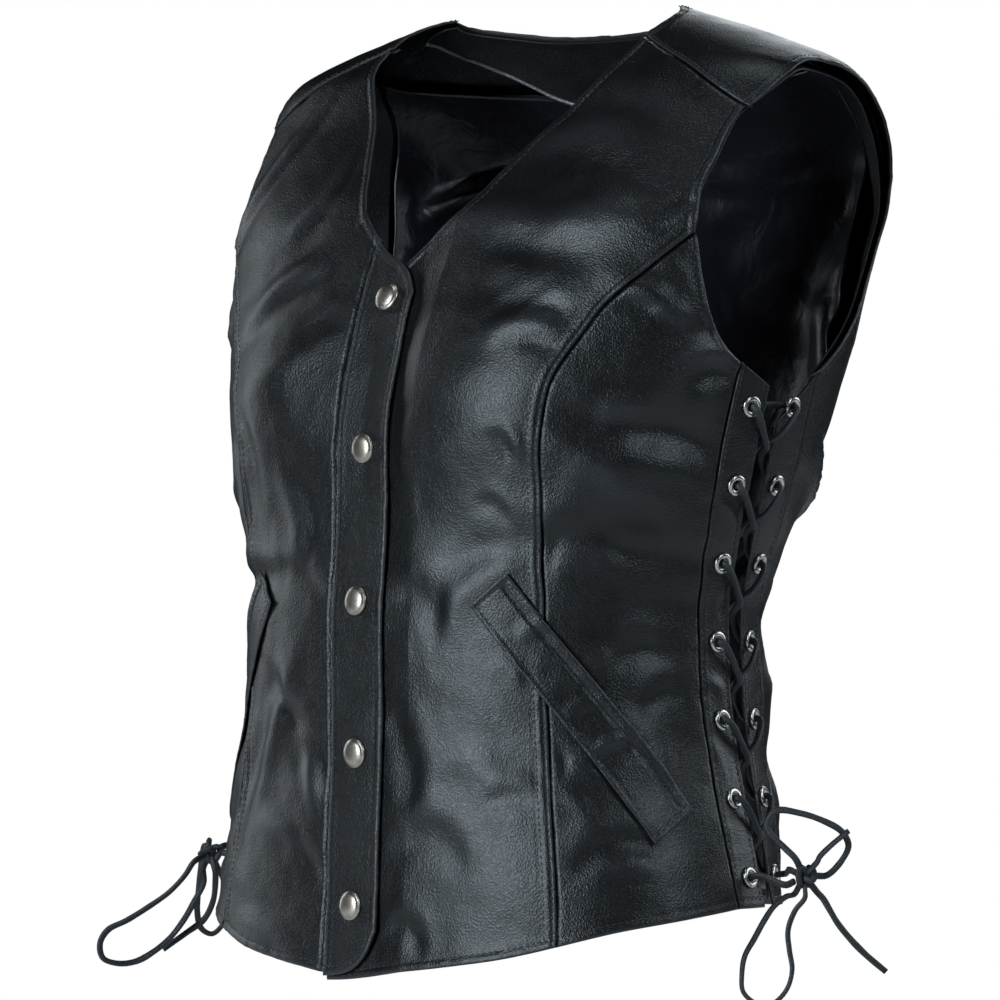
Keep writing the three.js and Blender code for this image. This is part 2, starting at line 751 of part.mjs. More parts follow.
function stripPatch(from, to, top) {
  const start = laceLine(from, HEM_SIDE_Z, top[0], BODY_ROWS);
  const end = laceLine(to, HEM_SIDE_Z, top[1], BODY_ROWS);
  return patch({
    bottom: spaced([start[0], end[0]], 2),
    top: spaced([start.at(-1), end.at(-1)], 2),
    start,
    end,
  });
}

function onVest(mesh, { z, along }, offset, sign) {
  const turn = turnAt(z, along) * sign;
  mesh.position.copy(point(turn, z, offset));
  const round = point(turn + 2, z).sub(point(turn - 2, z));
  const up = point(turn, z + 4).sub(point(turn, z - 4));
  mesh.quaternion.setFromUnitVectors(new THREE.Vector3(0, 1, 0), round.cross(up).normalize());
}

function holeTool(spot, sign) {
  const tool = new THREE.Mesh(new THREE.CylinderGeometry(EYELET_CUT / 2, EYELET_CUT / 2, 12, 8));
  onVest(tool, spot, 0, sign);
  tool.updateMatrix();
  return tool.geometry.applyMatrix4(tool.matrix);
}

function addStrips() {
  const kinds = [
    { name: 'front', from: SEAM_GAP, to: STRIP_WIDTH, top: FRONT_STRIP_TOP, eyelets: FRONT_EYELETS },
    {
      name: 'back',
      from: STRIP_WIDTH + STRIP_SPACE,
      to: BACK_EDGE - SEAM_GAP,
      top: BACK_STRIP_TOP,
      eyelets: BACK_EYELETS,
    },
  ];
  for (const { name: side, sign } of SIDES) {
    for (const { name, from, to, top, eyelets } of kinds) {
      const strip = wall(forSide(sign, [stripPatch(from, to, top)]));
      const holes = eyelets.map((spot) => holeTool(spot, sign));
      add(`lace_strip_${name}_${side}`, cutAway(strip, holes), MATERIALS.leather);
    }
  }
}

// Eyelets: a flange on the outer face and a barrel through the strip.

function addEyelets() {
  const hole = EYELET_HOLE / 2;
  const barrel = EYELET_BARREL / 2;
  const flange = EYELET_FLANGE / 2;
  const profile = [[hole, -1.9], [barrel, -1.9], [barrel, 0.55], [flange, 0.55], [hole, 1.4], [hole, -1.9]];
  for (const { name: side, sign } of SIDES) {
    for (const [row, places] of [['front', FRONT_EYELETS], ['back', BACK_EYELETS]]) {
      places.forEach((spot, k) => {
        const geometry = new THREE.LatheGeometry(profile.map(([r, h]) => new THREE.Vector2(r, h)), 8);
        onVest(add(`eyelet_${row}_${side}_${k + 1}`, geometry, MATERIALS.eyelet), spot, 0, sign);
      });
    }
  }
}

// Welt pockets, each a slanted strip across the princess seam.

const WELT_START = { z: -281, along: 83.1 };
const WELT_END = { z: -400.5, along: 182.2 };

function weltPatch() {
  const slant = Math.atan2(WELT_END.z - WELT_START.z, WELT_END.along - WELT_START.along);
  const half = WELT_WIDTH / 2;
  const aside = { along: -Math.sin(slant) * half, z: Math.cos(slant) * half };
  const side = (sign) => {
    const rows = [];
    for (let k = 0; k <= 6; k++) {
      const share = k / 6;
      rows.push([
        THREE.MathUtils.lerp(WELT_START.z, WELT_END.z, share) + sign * aside.z,
        THREE.MathUtils.lerp(WELT_START.along, WELT_END.along, share) + sign * aside.along,
      ]);
    }
    return seam(rows, 12);
  };
  const low = side(-1);
  const high = side(1);
  return patch({
    bottom: low, top: high, start: spaced([low[0], high[0]], 2), end: spaced([low.at(-1), high.at(-1)], 2),
  });
}

function addWelts() {
  for (const { name, sign } of SIDES) {
    const grid = forSide(sign, [weltPatch()]);
    add(`welt_${name}`, wall(grid, { rise: WELT_RISE, thickness: WELT_THICKNESS }), MATERIALS.leather);
  }
}

// Facings and lining inside the back

// Moves an edge across the leather, to its right as it runs, by a distance that its share sets.
function inset(edge, distanceAt) {
  const steps = 6;
  let current = edge.map((spot) => spot.clone());
  for (let done = 0; done < steps; done++) {
    current = current.map((spot, k) => {
      const move = distanceAt(k / (current.length - 1)) / steps;
      const turn = spot.x / TURN_SCALE;
      const before = current[Math.max(k - 1, 0)];
      const after = current[Math.min(k + 1, current.length - 1)];
      const [ahead, behind] = [after, before].map(({ x, y }) => smoothPoint(x / TURN_SCALE, y));
      const run = ahead.sub(behind);
      const aim = run.cross(outward(turn, spot.y)).normalize().multiplyScalar(move);
      const round = smoothPoint(turn + 0.5, spot.y).sub(smoothPoint(turn - 0.5, spot.y));
      const up = smoothPoint(turn, spot.y + 0.5).sub(smoothPoint(turn, spot.y - 0.5));
      const [rr, ru, uu] = [round.dot(round), round.dot(up), up.dot(up)];
      const [ra, ua] = [round.dot(aim), up.dot(aim)];
      const det = rr * uu - ru * ru;
      const turned = (ra * uu - ua * ru) / det;
      const raised = (ua * rr - ra * ru) / det;
      return place(turn + turned, spot.y + raised);
    });
  }
  return current;
}

const ARM_FACING_STEPS = 26;
const RIDGE_EXTRA = 4.4;

// The armhole facings lie a little deeper where the leather turns sharply over the shoulder.
function armholeFacingRise(turn, z) {
  const aside = (Math.abs(turn > 180 ? 360 - turn : turn) - 118) / 34;
  const near = THREE.MathUtils.smoothstep(z, -100, -50);
  return -FACING_DEPTH - RIDGE_EXTRA * near * Math.exp(-aside * aside);
}

function armholeEdge(side, count) {
  const seamRows = (rows) => rows.map(([z, along]) => place(turnAt(z, along), z));
  const overRows = (rows) => rows.map(([turn, z]) => place(turn, z));
  return spaced([
    ...overRows(ARMHOLE_BACK[side]),
    ...overRows(ARM_OVER_STRAP[side]).slice(1, -1),
    ...seamRows(ARMHOLE_FRONT_HIGH).reverse(),
    ...seamRows(ARMHOLE_FRONT_LOW).slice(1),
  ], count);
}

function addArmholeFacings() {
  for (const { name, sign } of SIDES) {
    const edge = armholeEdge(name, ARM_FACING_STEPS);
    const inner = inset(edge, () => ARMHOLE_FACING_WIDTH);
    const grid = patch({
      bottom: inner,
      top: edge,
      start: [inner[0], edge[0]],
      end: [inner.at(-1), edge.at(-1)],
    });
    const patches = forSide(sign, [grid]);
    const facing = wall(patches, { rise: armholeFacingRise, thickness: FACING });
    add(`armhole_facing_${name}`, facing, MATERIALS.facing);
  }
}

const NECK_FACING_STEPS = 9;

function neckEdge() {
  return spacedOnForm([...NECK_OVER_STRAP.slice(0, 4).reverse(), ...BACK_NECK.slice(1)], NECK_FACING_STEPS);
}

function neckFacingHem(extra) {
  const { shoulder, back } = NECK_FACING_WIDTH;
  const fullWidthAt = 0.77;
  const width = (share) => THREE.MathUtils.lerp(shoulder, back, Math.min(1, share / fullWidthAt));
  const hem = inset(neckEdge(), (share) => width(share) + extra);
  hem[hem.length - 1].x = 180 * TURN_SCALE;
  return hem;
}

function addNeckFacing() {
  const top = neckEdge();
  const bottom = neckFacingHem(0);
  const rows = 2;
  const start = spaced([bottom[0], top[0]], rows);
  const end = spaced([bottom.at(-1), top.at(-1)], rows);
  const half = patch({ bottom, top, start, end });
  const patches = [half, wrapped(flipped(half))];
  add('neck_facing', wall(patches, { rise: -FACING_DEPTH, thickness: FACING }), MATERIALS.facing);
}

function halfLining(side) {
  const columns = 7;
  const lowRows = 8;
  const highRows = 5;
  const armEdge = armholeEdge(side, ARM_FACING_STEPS);
  const armInner = inset(armEdge, () => ARMHOLE_FACING_WIDTH + LINING_TUCK.armhole);
  const armBottom = armInner[0];
  const sideTop = ARMHOLE_BACK[side][0][1] - ARMHOLE_FACING_WIDTH;
  const laced = laceLine(BACK_EDGE + LINING_TUCK.side, HEM_SIDE_Z + LINING_TUCK.hem, sideTop, lowRows);
  const level = spaced([laced.at(-1), place(180, laced.at(-1).y)], columns);
  const lower = patch({
    bottom: backHem(laced[0], columns).map((spot) => new THREE.Vector2(spot.x, spot.y + LINING_TUCK.hem)),
    top: level,
    start: laced,
    end: spaced([place(180, HEM_SIDE_Z - BACK_HEM_DROP + LINING_TUCK.hem), level.at(-1)], lowRows),
  });
  const armHigh = armInner.filter((spot) => spot.y > armBottom.y + 4 && spot.x / TURN_SCALE > 100);
  const facingHem = neckFacingHem(1).slice(-5);
  const arm = spaced([laced.at(-1), ...armHigh], highRows);
  const top = joined(spaced([arm.at(-1), facingHem[0]], 3), facingHem);
  const upper = patch({
    bottom: level,
    top,
    start: arm,
    end: spaced([level.at(-1), facingHem.at(-1)], highRows),
  });
  return [lower, upper];
}

function addLining() {
  const patches = [...halfLining('left'), ...halfLining('right').map(flipped).map(wrapped)];
  add('lining_back', wall(patches, { rise: -LINING_DEPTH, thickness: LINING }), MATERIALS.satin);
}

// Laces

// With its own stops, a tube has one ring at each point of its route.
// Otherwise its rings are evenly spaced.
function tube(points, ownStops = false) {
  const path = new THREE.CatmullRomCurve3(points, false, 'centripetal');
  const steps = ownStops ? points.length - 1 : Math.round(path.getLength() / LACE_STEP);
  if (ownStops) path.getUtoTmapping = (u) => u;
  const circle = new THREE.Shape();
  for (let k = 0; k < 8; k++) {
    const angle = (k * Math.PI) / 4;
    const [x, y] = [Math.cos(angle) * (LACE_DIAMETER / 2), Math.sin(angle) * (LACE_DIAMETER / 2)];
    if (k === 0) circle.moveTo(x, y);
    else circle.lineTo(x, y);
  }
  circle.closePath();
  return new THREE.ExtrudeGeometry(circle, { steps, extrudePath: path, bevelEnabled: false });
}

function lacePoint(spot, offset, sign) {
  return point(turnAt(spot.z, spot.along) * sign, spot.z, offset);
}

function crossing(from, to, profile, sign) {
  return profile.map(([share, height]) => lacePoint({
    z: THREE.MathUtils.lerp(from.z, to.z, share),
    along: THREE.MathUtils.lerp(from.along, to.along, share),
  }, height, sign));
}

function laceRoute(firstRow, secondRow, profile, sign) {
  const route = [];
  for (let k = 0; k + 1 < EYELET_COUNT; k++) {
    const rows = k % 2 === 0 ? [firstRow, secondRow] : [secondRow, firstRow];
    route.push(...crossing(rows[0][k], rows[1][k + 1], profile(k), sign));
  }
  return route;
}

const LACE_UNDER = LACE_OVER.map(([share, height]) => [1 - share, -LEATHER - height]).reverse();

// The place where a lace's end meets the knot, one gap clear of it.
function besideKnot(knot, direction) {
  const way = new THREE.Vector3(...direction).normalize();
  const size = new THREE.Vector3(way.x / KNOT_SIZE.x, way.y / KNOT_SIZE.y, way.z / KNOT_SIZE.z);
  return new THREE.Vector3(...knot).addScaledVector(way, 0.5 / size.length() + SEAM_GAP);
}

// A lace's last two points, straight in to the knot.
function knotEnd(knot, direction) {
  const end = besideKnot(knot, direction);
  return [end.clone().addScaledVector(new THREE.Vector3(...direction), 1.5 * LACE_DIAMETER), end];
}

function addLaces() {
  const last = EYELET_COUNT - 1;
  for (const { name, sign } of SIDES) {
    const over = (k) => (k % 2 === 0 ? LACE_OVER : LACE_UNDER);
    const under = (k) => (k % 2 === 0 ? LACE_UNDER : LACE_OVER);
    const first = laceRoute(FRONT_EYELETS, BACK_EYELETS, over, sign);
    const second = laceRoute(BACK_EYELETS, FRONT_EYELETS, under, sign);
    const { knot, lace } = BOWS[name];
    const leave = (spot, direction) => {
      const out = [lacePoint(spot, LACE_OUT.through, sign), lacePoint(spot, LACE_OUT.clear, sign)];
      const [before, end] = knotEnd(knot, direction);
      return [...out, out[1].clone().lerp(before, 0.5), before, end];
    };
    const bar = [0.2, 0.5, 0.8].map((share) => lacePoint({
      z: EYELET_TOP_Z,
      along: THREE.MathUtils.lerp(FRONT_EYELETS[0].along, BACK_EYELETS[0].along, share),
    }, LACE_IN.clear, sign));
    const [frontIn, backIn] = [FRONT_EYELETS[0], BACK_EYELETS[0]]
      .map((spot) => lacePoint(spot, LACE_IN.through, sign));
    const inside = [frontIn, ...bar, backIn];
    const down = [...first, ...leave(FRONT_EYELETS[last], lace[0])].reverse();
    const route = [...down, ...inside, ...second, ...leave(BACK_EYELETS[last], lace[1])];
    add(`lace_${name}`, tube(route, true), MATERIALS.lace);
  }
}

function addBows() {
  for (const [side, { knot, free }] of Object.entries(BOWS)) {
    const mesh = add(`bow_knot_${side}`, new THREE.SphereGeometry(0.5, 10, 6), MATERIALS.lace);
    mesh.scale.set(KNOT_SIZE.x, KNOT_SIZE.y, KNOT_SIZE.z);
    mesh.position.set(...knot);
    for (const { name, from, route, to } of free) {
      const points = [...knotEnd(knot, from).reverse(), ...route.map((spot) => new THREE.Vector3(...spot))];
      if (to) points.push(...knotEnd(knot, to));
      add(name, tube(points), MATERIALS.lace);
    }
  }
}

addFronts();
addSidePanels();
addPlacket();
addSnaps();
addBack();
addStrips();
addEyelets();
addWelts();
addArmholeFacings();
addNeckFacing();
addLining();
addLaces();
addBows();

export default vest;
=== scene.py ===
# The looks of a women's black leather biker vest, worn form with no wearer.
# Lengths in the tables are millimetres; the scene itself is in metres.

import math

import bpy
import numpy as np
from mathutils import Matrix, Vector


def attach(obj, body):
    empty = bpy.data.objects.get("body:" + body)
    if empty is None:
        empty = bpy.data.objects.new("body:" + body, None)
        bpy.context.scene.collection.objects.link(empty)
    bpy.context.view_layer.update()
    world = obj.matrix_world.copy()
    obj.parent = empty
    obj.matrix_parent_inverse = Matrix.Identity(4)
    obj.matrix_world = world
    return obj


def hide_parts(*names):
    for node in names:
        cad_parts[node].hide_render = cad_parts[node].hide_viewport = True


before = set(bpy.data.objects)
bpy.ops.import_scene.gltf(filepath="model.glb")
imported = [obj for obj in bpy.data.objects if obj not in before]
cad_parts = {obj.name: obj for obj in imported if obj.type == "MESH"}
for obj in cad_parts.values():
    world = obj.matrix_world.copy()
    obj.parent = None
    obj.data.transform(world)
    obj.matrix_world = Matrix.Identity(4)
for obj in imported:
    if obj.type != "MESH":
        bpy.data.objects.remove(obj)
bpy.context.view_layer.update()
MM = 0.001
scene = bpy.context.scene

# Camera

AIM = Vector((-0.0037, -0.0457, -0.236))
CAMERA_DISTANCE = 4.0
CAMERA_TURN = math.radians(45)
LENS = 276.9


def make_camera():
    data = bpy.data.cameras.new("camera")
    data.sensor_width = 36
    data.lens = LENS
    data.clip_end = 60
    camera = bpy.data.objects.new("camera", data)
    scene.collection.objects.link(camera)
    back = Vector((math.sin(CAMERA_TURN), -math.cos(CAMERA_TURN), 0))
    camera.location = AIM + back * CAMERA_DISTANCE
    camera.rotation_mode = "QUATERNION"
    camera.rotation_quaternion = (-back).to_track_quat("-Z", "Y")
    scene.camera = camera


make_camera()

# Sizes shared with the solids

LEATHER = 1.6
FACING = 1.2
LINING = 1.0
SEAM_GAP = 0.3
TUCK = 2.0
PLACKET_HALF_WIDTH = 18
PLACKET_RISE = 0.6
PLACKET_THICKNESS = 1.9
UNDERLAP_DIP = 2.1
UNDERLAP_RAMP = 36
FACING_DEPTH = 3.4
LINING_DEPTH = 6.5
ARMHOLE_FACING_WIDTH = 25
NECK_FACING_WIDTH = {"shoulder": 20, "back": 52}
WELT_WIDTH = 25.6
WELT_THICKNESS = 1.2
WELT_RISE = 2.0
WELT_SLOT = 5.4
# How far the fronts run under the yoke seam and the back laps over it: degrees of turn, height.
YOKE_TUCK = (0.8, 1.0)
YOKE_LAP = (0.2, 0.25)
LINING_TUCK = {"hem": 8, "side": 1, "armhole": 2.5}
SNAP_TOP_Z = -132
SNAP_PITCH = 77.7
SNAP_COUNT = 5
STRIP_WIDTH = 22
STRIP_SPACE = 10
EYELET_INSET = 12.5
EYELET_COUNT = 7
EYELET_TOP_Z = -189
EYELET_PITCH = 39.6
EYELET_HOLE = 2.65
EYELET_BARREL = 3.2
EYELET_FLANGE = 5.5
# The hollows that hardware presses into the leather: radius and depth.
EYELET_CUT = 3.7
EYELET_DENT = (6.5, 0.35)
SNAP_DENT = (8.5, 0.6)
LACE_DIAMETER = 3.4
# Heights of a lace in an eyelet and clear of it, outside and inside the leather.
LACE_OUT = (2.4, 5.6)
LACE_IN = (-3.9, -5.8)
HEM_SIDE_Z = -442
STRIP_TOP_Z = -167
BACK_EDGE = 2 * STRIP_WIDTH + STRIP_SPACE + SEAM_GAP
BACK_HEM_DROP = 5
BUST = {"x": 82, "z": -178, "across": 52, "up": 48, "lift": 13}

# Horizontal sections of the worn form.
# Columns: height, half width, front depth, back depth, centre, front and back squareness.
SECTIONS = np.array([
    [22, 60, 6, 4, 0, 2.3, 2.3],
    [18, 86, 16, 12, 0, 2.4, 2.4],
    [10, 116, 34, 26, 0, 2.5, 2.6],
    [0, 146, 47, 38, 0, 2.6, 2.9],
    [-12, 177, 58, 50, 0, 2.7, 3.4],
    [-22, 188, 64, 62, 0, 2.8, 3.3],
    [-38, 193, 74, 77, 0, 2.8, 3.2],
    [-60, 194, 90, 90, -1, 2.8, 3.2],
    [-85, 192, 106, 97, -4, 2.8, 3.1],
    [-110, 188, 112, 99, -10, 2.75, 3.0],
    [-135, 186, 117, 99, -14, 2.65, 2.8],
    [-160, 183, 119, 99, -18, 2.5, 2.7],
    [-184, 179, 121, 102, -22, 2.4, 2.45],
    [-207, 174, 121, 103, -26, 2.3, 2.35],
    [-235, 167, 117, 103, -31, 2.3, 2.3],
    [-265, 157, 113, 102, -37, 2.25, 2.2],
    [-293, 150, 111, 101, -42, 2.2, 2.2],
    [-330, 150, 109, 105, -44, 2.2, 2.2],
    [-366, 154, 107, 109, -46, 2.2, 2.2],
    [-405, 163, 106, 107, -49, 2.2, 2.2],
    [-440, 171, 104, 104, -52, 2.2, 2.2],
    [-490, 178, 106, 104, -54, 2.2, 2.2],
], dtype=float)[::-1]

# Seams and edges on the wearer's left. Columns: height, distance from the centre front.
PRINCESS_SEAM = [
    [-460, 126], [-416, 122], [-379, 117], [-343, 114], [-292, 112], [-266, 110], [-226, 112],
    [-202, 115], [-174, 121], [-148, 134], [-136, 141], [-123, 154], [-108, 169], [-101, 177],
]
LACE_SEAM = [
    [-442, 225], [-427, 221], [-408, 215], [-384, 207.5], [-360, 202], [-335, 197],
    [-291, 195.5], [-262, 197], [-241, 200], [-219, 206], [-199, 212], [-182, 216], [-167, 217.5],
]
ARMHOLE_FRONT_LOW = [
    [-101, 177], [-110, 181], [-126, 187.5], [-142, 195], [-158, 206], [-167, 217.5],
]
ARMHOLE_FRONT_HIGH = [[-101, 177], [-93, 176], [-78, 172.5], [-64, 173], [-49, 173], [-38, 175.5]]
NECKLINE_LOW = [[-126, -18], [-117, 0], [-112, 7], [-102, 18], [-92, 29.7], [-87, 36]]
NECKLINE_HIGH = [[-87, 36], [-69, 48.4], [-39, 67.8], [-14, 87], [3, 92.6]]
HEM_FRONT = [[-481, -18], [-480, 0], [-477.5, 18], [-475, 36]]
HEM_MIDDLE = [[-475, 36], [-472, 61], [-467, 95], [-460, 126]]
HEM_SIDE = [[-460, 126], [-452, 159], [-446, 195], [-442, 225]]
PLACKET_TOP = [[-102, -18], [-109, -8], [-114, 3], [-119.5, 11], [-129, 18]]
PLACKET_BOTTOM = [[-479, -18], [-478, -8], [-475, 3], [-467, 12], [-455, 18]]

# Edges over the shoulder and round the back. Columns: turn in degrees, height.
YOKE_SEAM = [[55.5, -38], [50, -31], [44.5, -21], [40.5, -8], [38.5, 3]]
NECK_OVER_STRAP = [
    [112, 17.6], [100, 18.4], [90, 18.7], [75, 17.6], [60, 14.5], [48, 9.5], [38.5, 3],
]
# The back's edge of the wearer's right armhole has swung forward.
ARM_OVER_STRAP = {
    "left": [[122, -35], [117, -23], [106, -15.5], [90, -12.5], [76, -15], [64, -24], [55.5, -38]],
    "right": [[109, -35], [105.5, -24], [98, -16.5], [87, -12.8], [75, -15.5], [64, -24], [55.5, -38]],
}
BACK_NECK = [[112, 17.6], [130, 15.3], [150, 12], [165, 9.2], [180, 8]]
ARMHOLE_BACK = {
    "left": [
        [99.5, -173], [105.6, -163], [114, -145], [120, -124], [124, -101], [124.5, -79],
        [124, -55], [122, -35],
    ],
    "right": [
        [99.5, -173], [101.5, -163], [104, -145], [105.3, -124], [105.5, -101], [105.5, -79],
        [106.5, -55], [109, -35],
    ],
}
ARM_BOTTOM_Z = -173
WELT_START = (-281, 83.1)
WELT_END = (-400.5, 182.2)

# The largest folds, as in the solids.
# Columns: height, distance from the centre front, lean in degrees, half length, half width, rise.
FOLDS = [
    [-120, -70, 58, 46, 9, 2.6],
    [-140, -88, 60, 40, 8, -2.2],
    [-165, -60, 66, 34, 9, 1.8],
    [-283, -160, 86, 34, 9, -4.2],
    [-302, -150, 82, 34, 11, 2.8],
    [-352, -70, 28, 44, 9, 2.4],
    [-372, -98, 24, 50, 10, -2.4],
    [-382, -150, 62, 46, 11, 2.6],
    [-425, -160, 70, 32, 10, 2.4],
    [-130, 160, 70, 30, 7, 1.8],
    [-200, 165, 78, 40, 9, -2.4],
    [-214, 150, 80, 42, 9, 2.0],
    [-262, 160, 84, 46, 8, -2.6],
    [-250, 145, 80, 40, 9, 2.0],
    [-385, 120, 48, 36, 8, -2.0],
    [-400, 138, 54, 36, 9, 2.2],
    [-303, 306, 86, 38, 10, -5.0],
    [-336, 308, 84, 38, 13, 4.0],
    [-369, 306, 86, 38, 10, -4.4],
    [-396, 306, 82, 36, 12, 3.2],
    [-236, 318, 60, 42, 10, 3.2],
    [-262, 322, 62, 42, 10, -2.8],
    [-300, -308, 88, 38, 10, -4.6],
    [-340, -310, 84, 38, 13, 3.6],
    [-378, -306, 86, 38, 10, -3.6],
    [-240, -320, 62, 42, 10, 2.8],
    [-290, 380, 88, 60, 12, -2.4],
    [-318, -372, 84, 56, 12, 2.2],
    [-80, 372, 30, 60, 14, 1.8],
    [-84, -376, 28, 56, 14, 1.6],
]

# Creases of the leather, each along a line between two places.
# Columns: first height and distance, second height and distance, half width, rise.
CREASES = [
    # wearer's right front
    [-24, -118, -105, -176, 6, 2.0],
    [-62, -69, -97, -91, 6, 1.5],
    [-70, -57, -83, -71, 4, 0.9],
    [-293, -160, -363, -168, 7, 1.9],
    [-328, -74, -375, -38, 7, -1.9],
    [-353, -52, -393, -28, 6, 1.8],
    [-280, -160, -277, -60, 7, -1.8],
    [-269, -68, -282, -27, 5, -1.3],
    [-398, -80, -417, -43, 6, 1.5],
    [-411, -63, -427, -25, 6, -1.5],
    [-451, -97, -468, -40, 6, 1.1],
    [-148, -57, -144, -26, 5, -1.1],
    [-132, -100, -116, -56, 7, 1.1],
    [-226, -59, -267, -48, 8, 1.3],
    [-205, -128, -262, -120, 9, 1.4],
    [-190, -100, -240, -92, 8, -1.2],
    # wearer's left chest
    [-96, 24, -94, 82, 8, 1.5],
    [-109, 58, -117, 132, 8, -1.5],
    [-150, 80, -146, 118, 6, 1.7],
    [-155, 102, -161, 121, 3, -1.3],
    [-202, 89, -214, 98, 4, -1.3],
    [-204, 98, -212, 106, 3, 0.8],
    [-56, 59, -49, 118, 9, 1.3],
    [-64, 76, -75, 138, 8, -1.1],
    [-95, 96, -94, 149, 9, 1.4],
    [-140, 101, -142, 120, 4, -1.3],
    [-88, 163, -85, 172, 3, -0.8],
    [-97, 163, -93, 175, 3, 0.7],
    [-27, 81, -39, 141, 9, 1.1],
    [-129, 38, -135, 95, 9, -1.6],
    # wearer's left side panel
    [-122, 154, -129, 176, 4, -1.4],
    [-136, 149, -144, 169, 3.5, -1.5],
    [-141, 165, -145, 185, 4, 1.1],
    [-162, 182, -162, 208, 5, 1.4],
    [-179, 190, -172, 212, 6, -1.7],
    [-198, 166, -209, 200, 13, -2.4],
    [-255, 118, -250, 179, 9, -2.2],
    [-265, 118, -261, 146, 8, 1.8],
    [-316, 149, -312, 174, 7, -1.7],
    [-313, 135, -320, 145, 5, 0.9],
    [-340, 162, -333, 185, 6, -1.1],
    [-343, 153, -377, 179, 8, 1.3],
    [-415, 135, -411, 172, 7, -1.6],
    [-420, 141, -418, 176, 6, 1.3],
    [-360, 119, -373, 126, 3, -0.9],
    [-377, 124, -385, 142, 4, -0.9],
    [-384, 127, -395, 139, 3, 0.7],
    [-196, 146, -186, 166, 6, 0.9],
    [-221, 126, -225, 154, 8, 1.1],
    # wearer's left front, below the bust
    [-282, 28, -298, 57, 9, -1.7],
    [-293, 58, -268, 94, 8, 1.5],
    [-341, 24, -394, 39, 8, -1.7],
    [-388, 83, -387, 111, 5, -1.1],
    [-408, 31, -414, 72, 9, -1.6],
    [-450, 27, -462, 50, 6, -1.7],
    [-236, 77, -245, 94, 4, -1.1],
    [-317, 88, -326, 101, 5, 0.8],
    [-367, 50, -377, 91, 9, 0.9],
    # across the welt
    [-336, 119, -333, 139, 4, -0.8],
    [-348, 128, -343, 146, 4, -1.0],
    [-370, 140, -360, 158, 4, -1.2],
    [-361, 141, -356, 154, 4, 0.9],
    [-306, 100, -297, 113, 4, 0.6],
    # wearer's left lacing strips
    [-295, 210, -282, 216, 2.5, -0.7],
    [-327, 202, -334, 213, 3, 0.7],
    [-357, 205, -383, 217, 4, 0.8],
    [-236, 207, -251, 216, 3, 0.7],
    # wearer's right side panel and strips
    [-126, -158, -134, -182, 4, -1.3],
    [-144, -152, -150, -176, 4, 1.1],
    [-168, -180, -164, -210, 5, 1.3],
    [-190, -160, -202, -204, 11, -2.2],
    [-226, -128, -232, -170, 8, 1.5],
    [-258, -122, -251, -184, 9, -2.0],
    [-310, -140, -304, -182, 7, 1.5],
    [-338, -158, -346, -190, 6, -1.3],
    [-392, -140, -402, -186, 8, 1.4],
    [-422, -138, -416, -180, 6, -1.3],
    [-288, -206, -299, -216, 3, 0.7],
    [-348, -204, -362, -216, 3, -0.7],
    # back, wearer's left
    [-204, 288, -250, 316, 5, 2.0],
    [-252, 286, -276, 330, 6, -1.6],
    [-284, 284, -270, 318, 4, 1.5],
    [-330, 286, -322, 340, 6, 1.5],
    [-356, 288, -366, 336, 5, -1.3],
    [-416, 284, -406, 330, 7, 1.2],
    [-150, 330, -196, 346, 7, 1.4],
    [-274, 352, -288, 414, 8, -1.6],
    [-300, 346, -292, 400, 7, 1.3],
    [-60, 330, -130, 356, 9, 1.2],
    [-350, 372, -432, 388, 9, 1.1],
    # back, wearer's right
    [-212, -286, -246, -322, 5, 1.8],
    [-262, -284, -272, -336, 6, -1.5],
    [-296, -286, -286, -322, 4, 1.3],
    [-318, -288, -330, -344, 6, 1.4],
    [-366, -286, -356, -330, 5, -1.4],
    [-410, -286, -420, -334, 7, 1.2],
    [-160, -334, -188, -350, 7, 1.2],
    [-280, -346, -274, -420, 8, -1.5],
    [-306, -356, -300, -396, 7, 1.1],
    [-70, -336, -120, -350, 9, 1.1],
    [-362, -366, -424, -380, 9, 1.0],
]

# Folds of the satin lining, in turn and height.
# Columns: first turn and height, second turn and height, half width, rise inward.
SATIN_FOLDS = [
    [-176, -52, -140, -66, 7, 5.0],
    [-150, -60, -128, -84, 6, 4.0],
    [-178, -78, -152, -96, 9, -3.0],
    [-168, -92, -150, -128, 8, 5.0],
    [-146, -84, -136, -140, 9, 4.5],
    [-176, -104, -170, -170, 10, 4.0],
    [-132, -100, -128, -170, 7, 3.5],
    [-160, -150, -140, -190, 10, -3.0],
    [174, -66, 150, -58, 7, 4.0],
    [170, -96, 156, -150, 9, 4.0],
    [150, -84, 138, -140, 9, -3.0],
    [136, -70, 132, -120, 5, 4.5],
    [134, -118, 128, -160, 5, 5.0],
    [128, -140, 122, -178, 5, 4.0],
    [140, -110, 136, -180, 7, 3.5],
    [160, -180, 150, -300, 11, 3.0],
    [-158, -200, -150, -310, 11, 3.0],
    [120, -210, 118, -320, 8, 2.5],
    [-122, -220, -118, -330, 8, 2.5],
    [178, -240, 172, -360, 12, 2.5],
    [140, -320, 136, -420, 10, 2.5],
    [-138, -330, -142, -424, 10, 2.5],
]

# Worn form


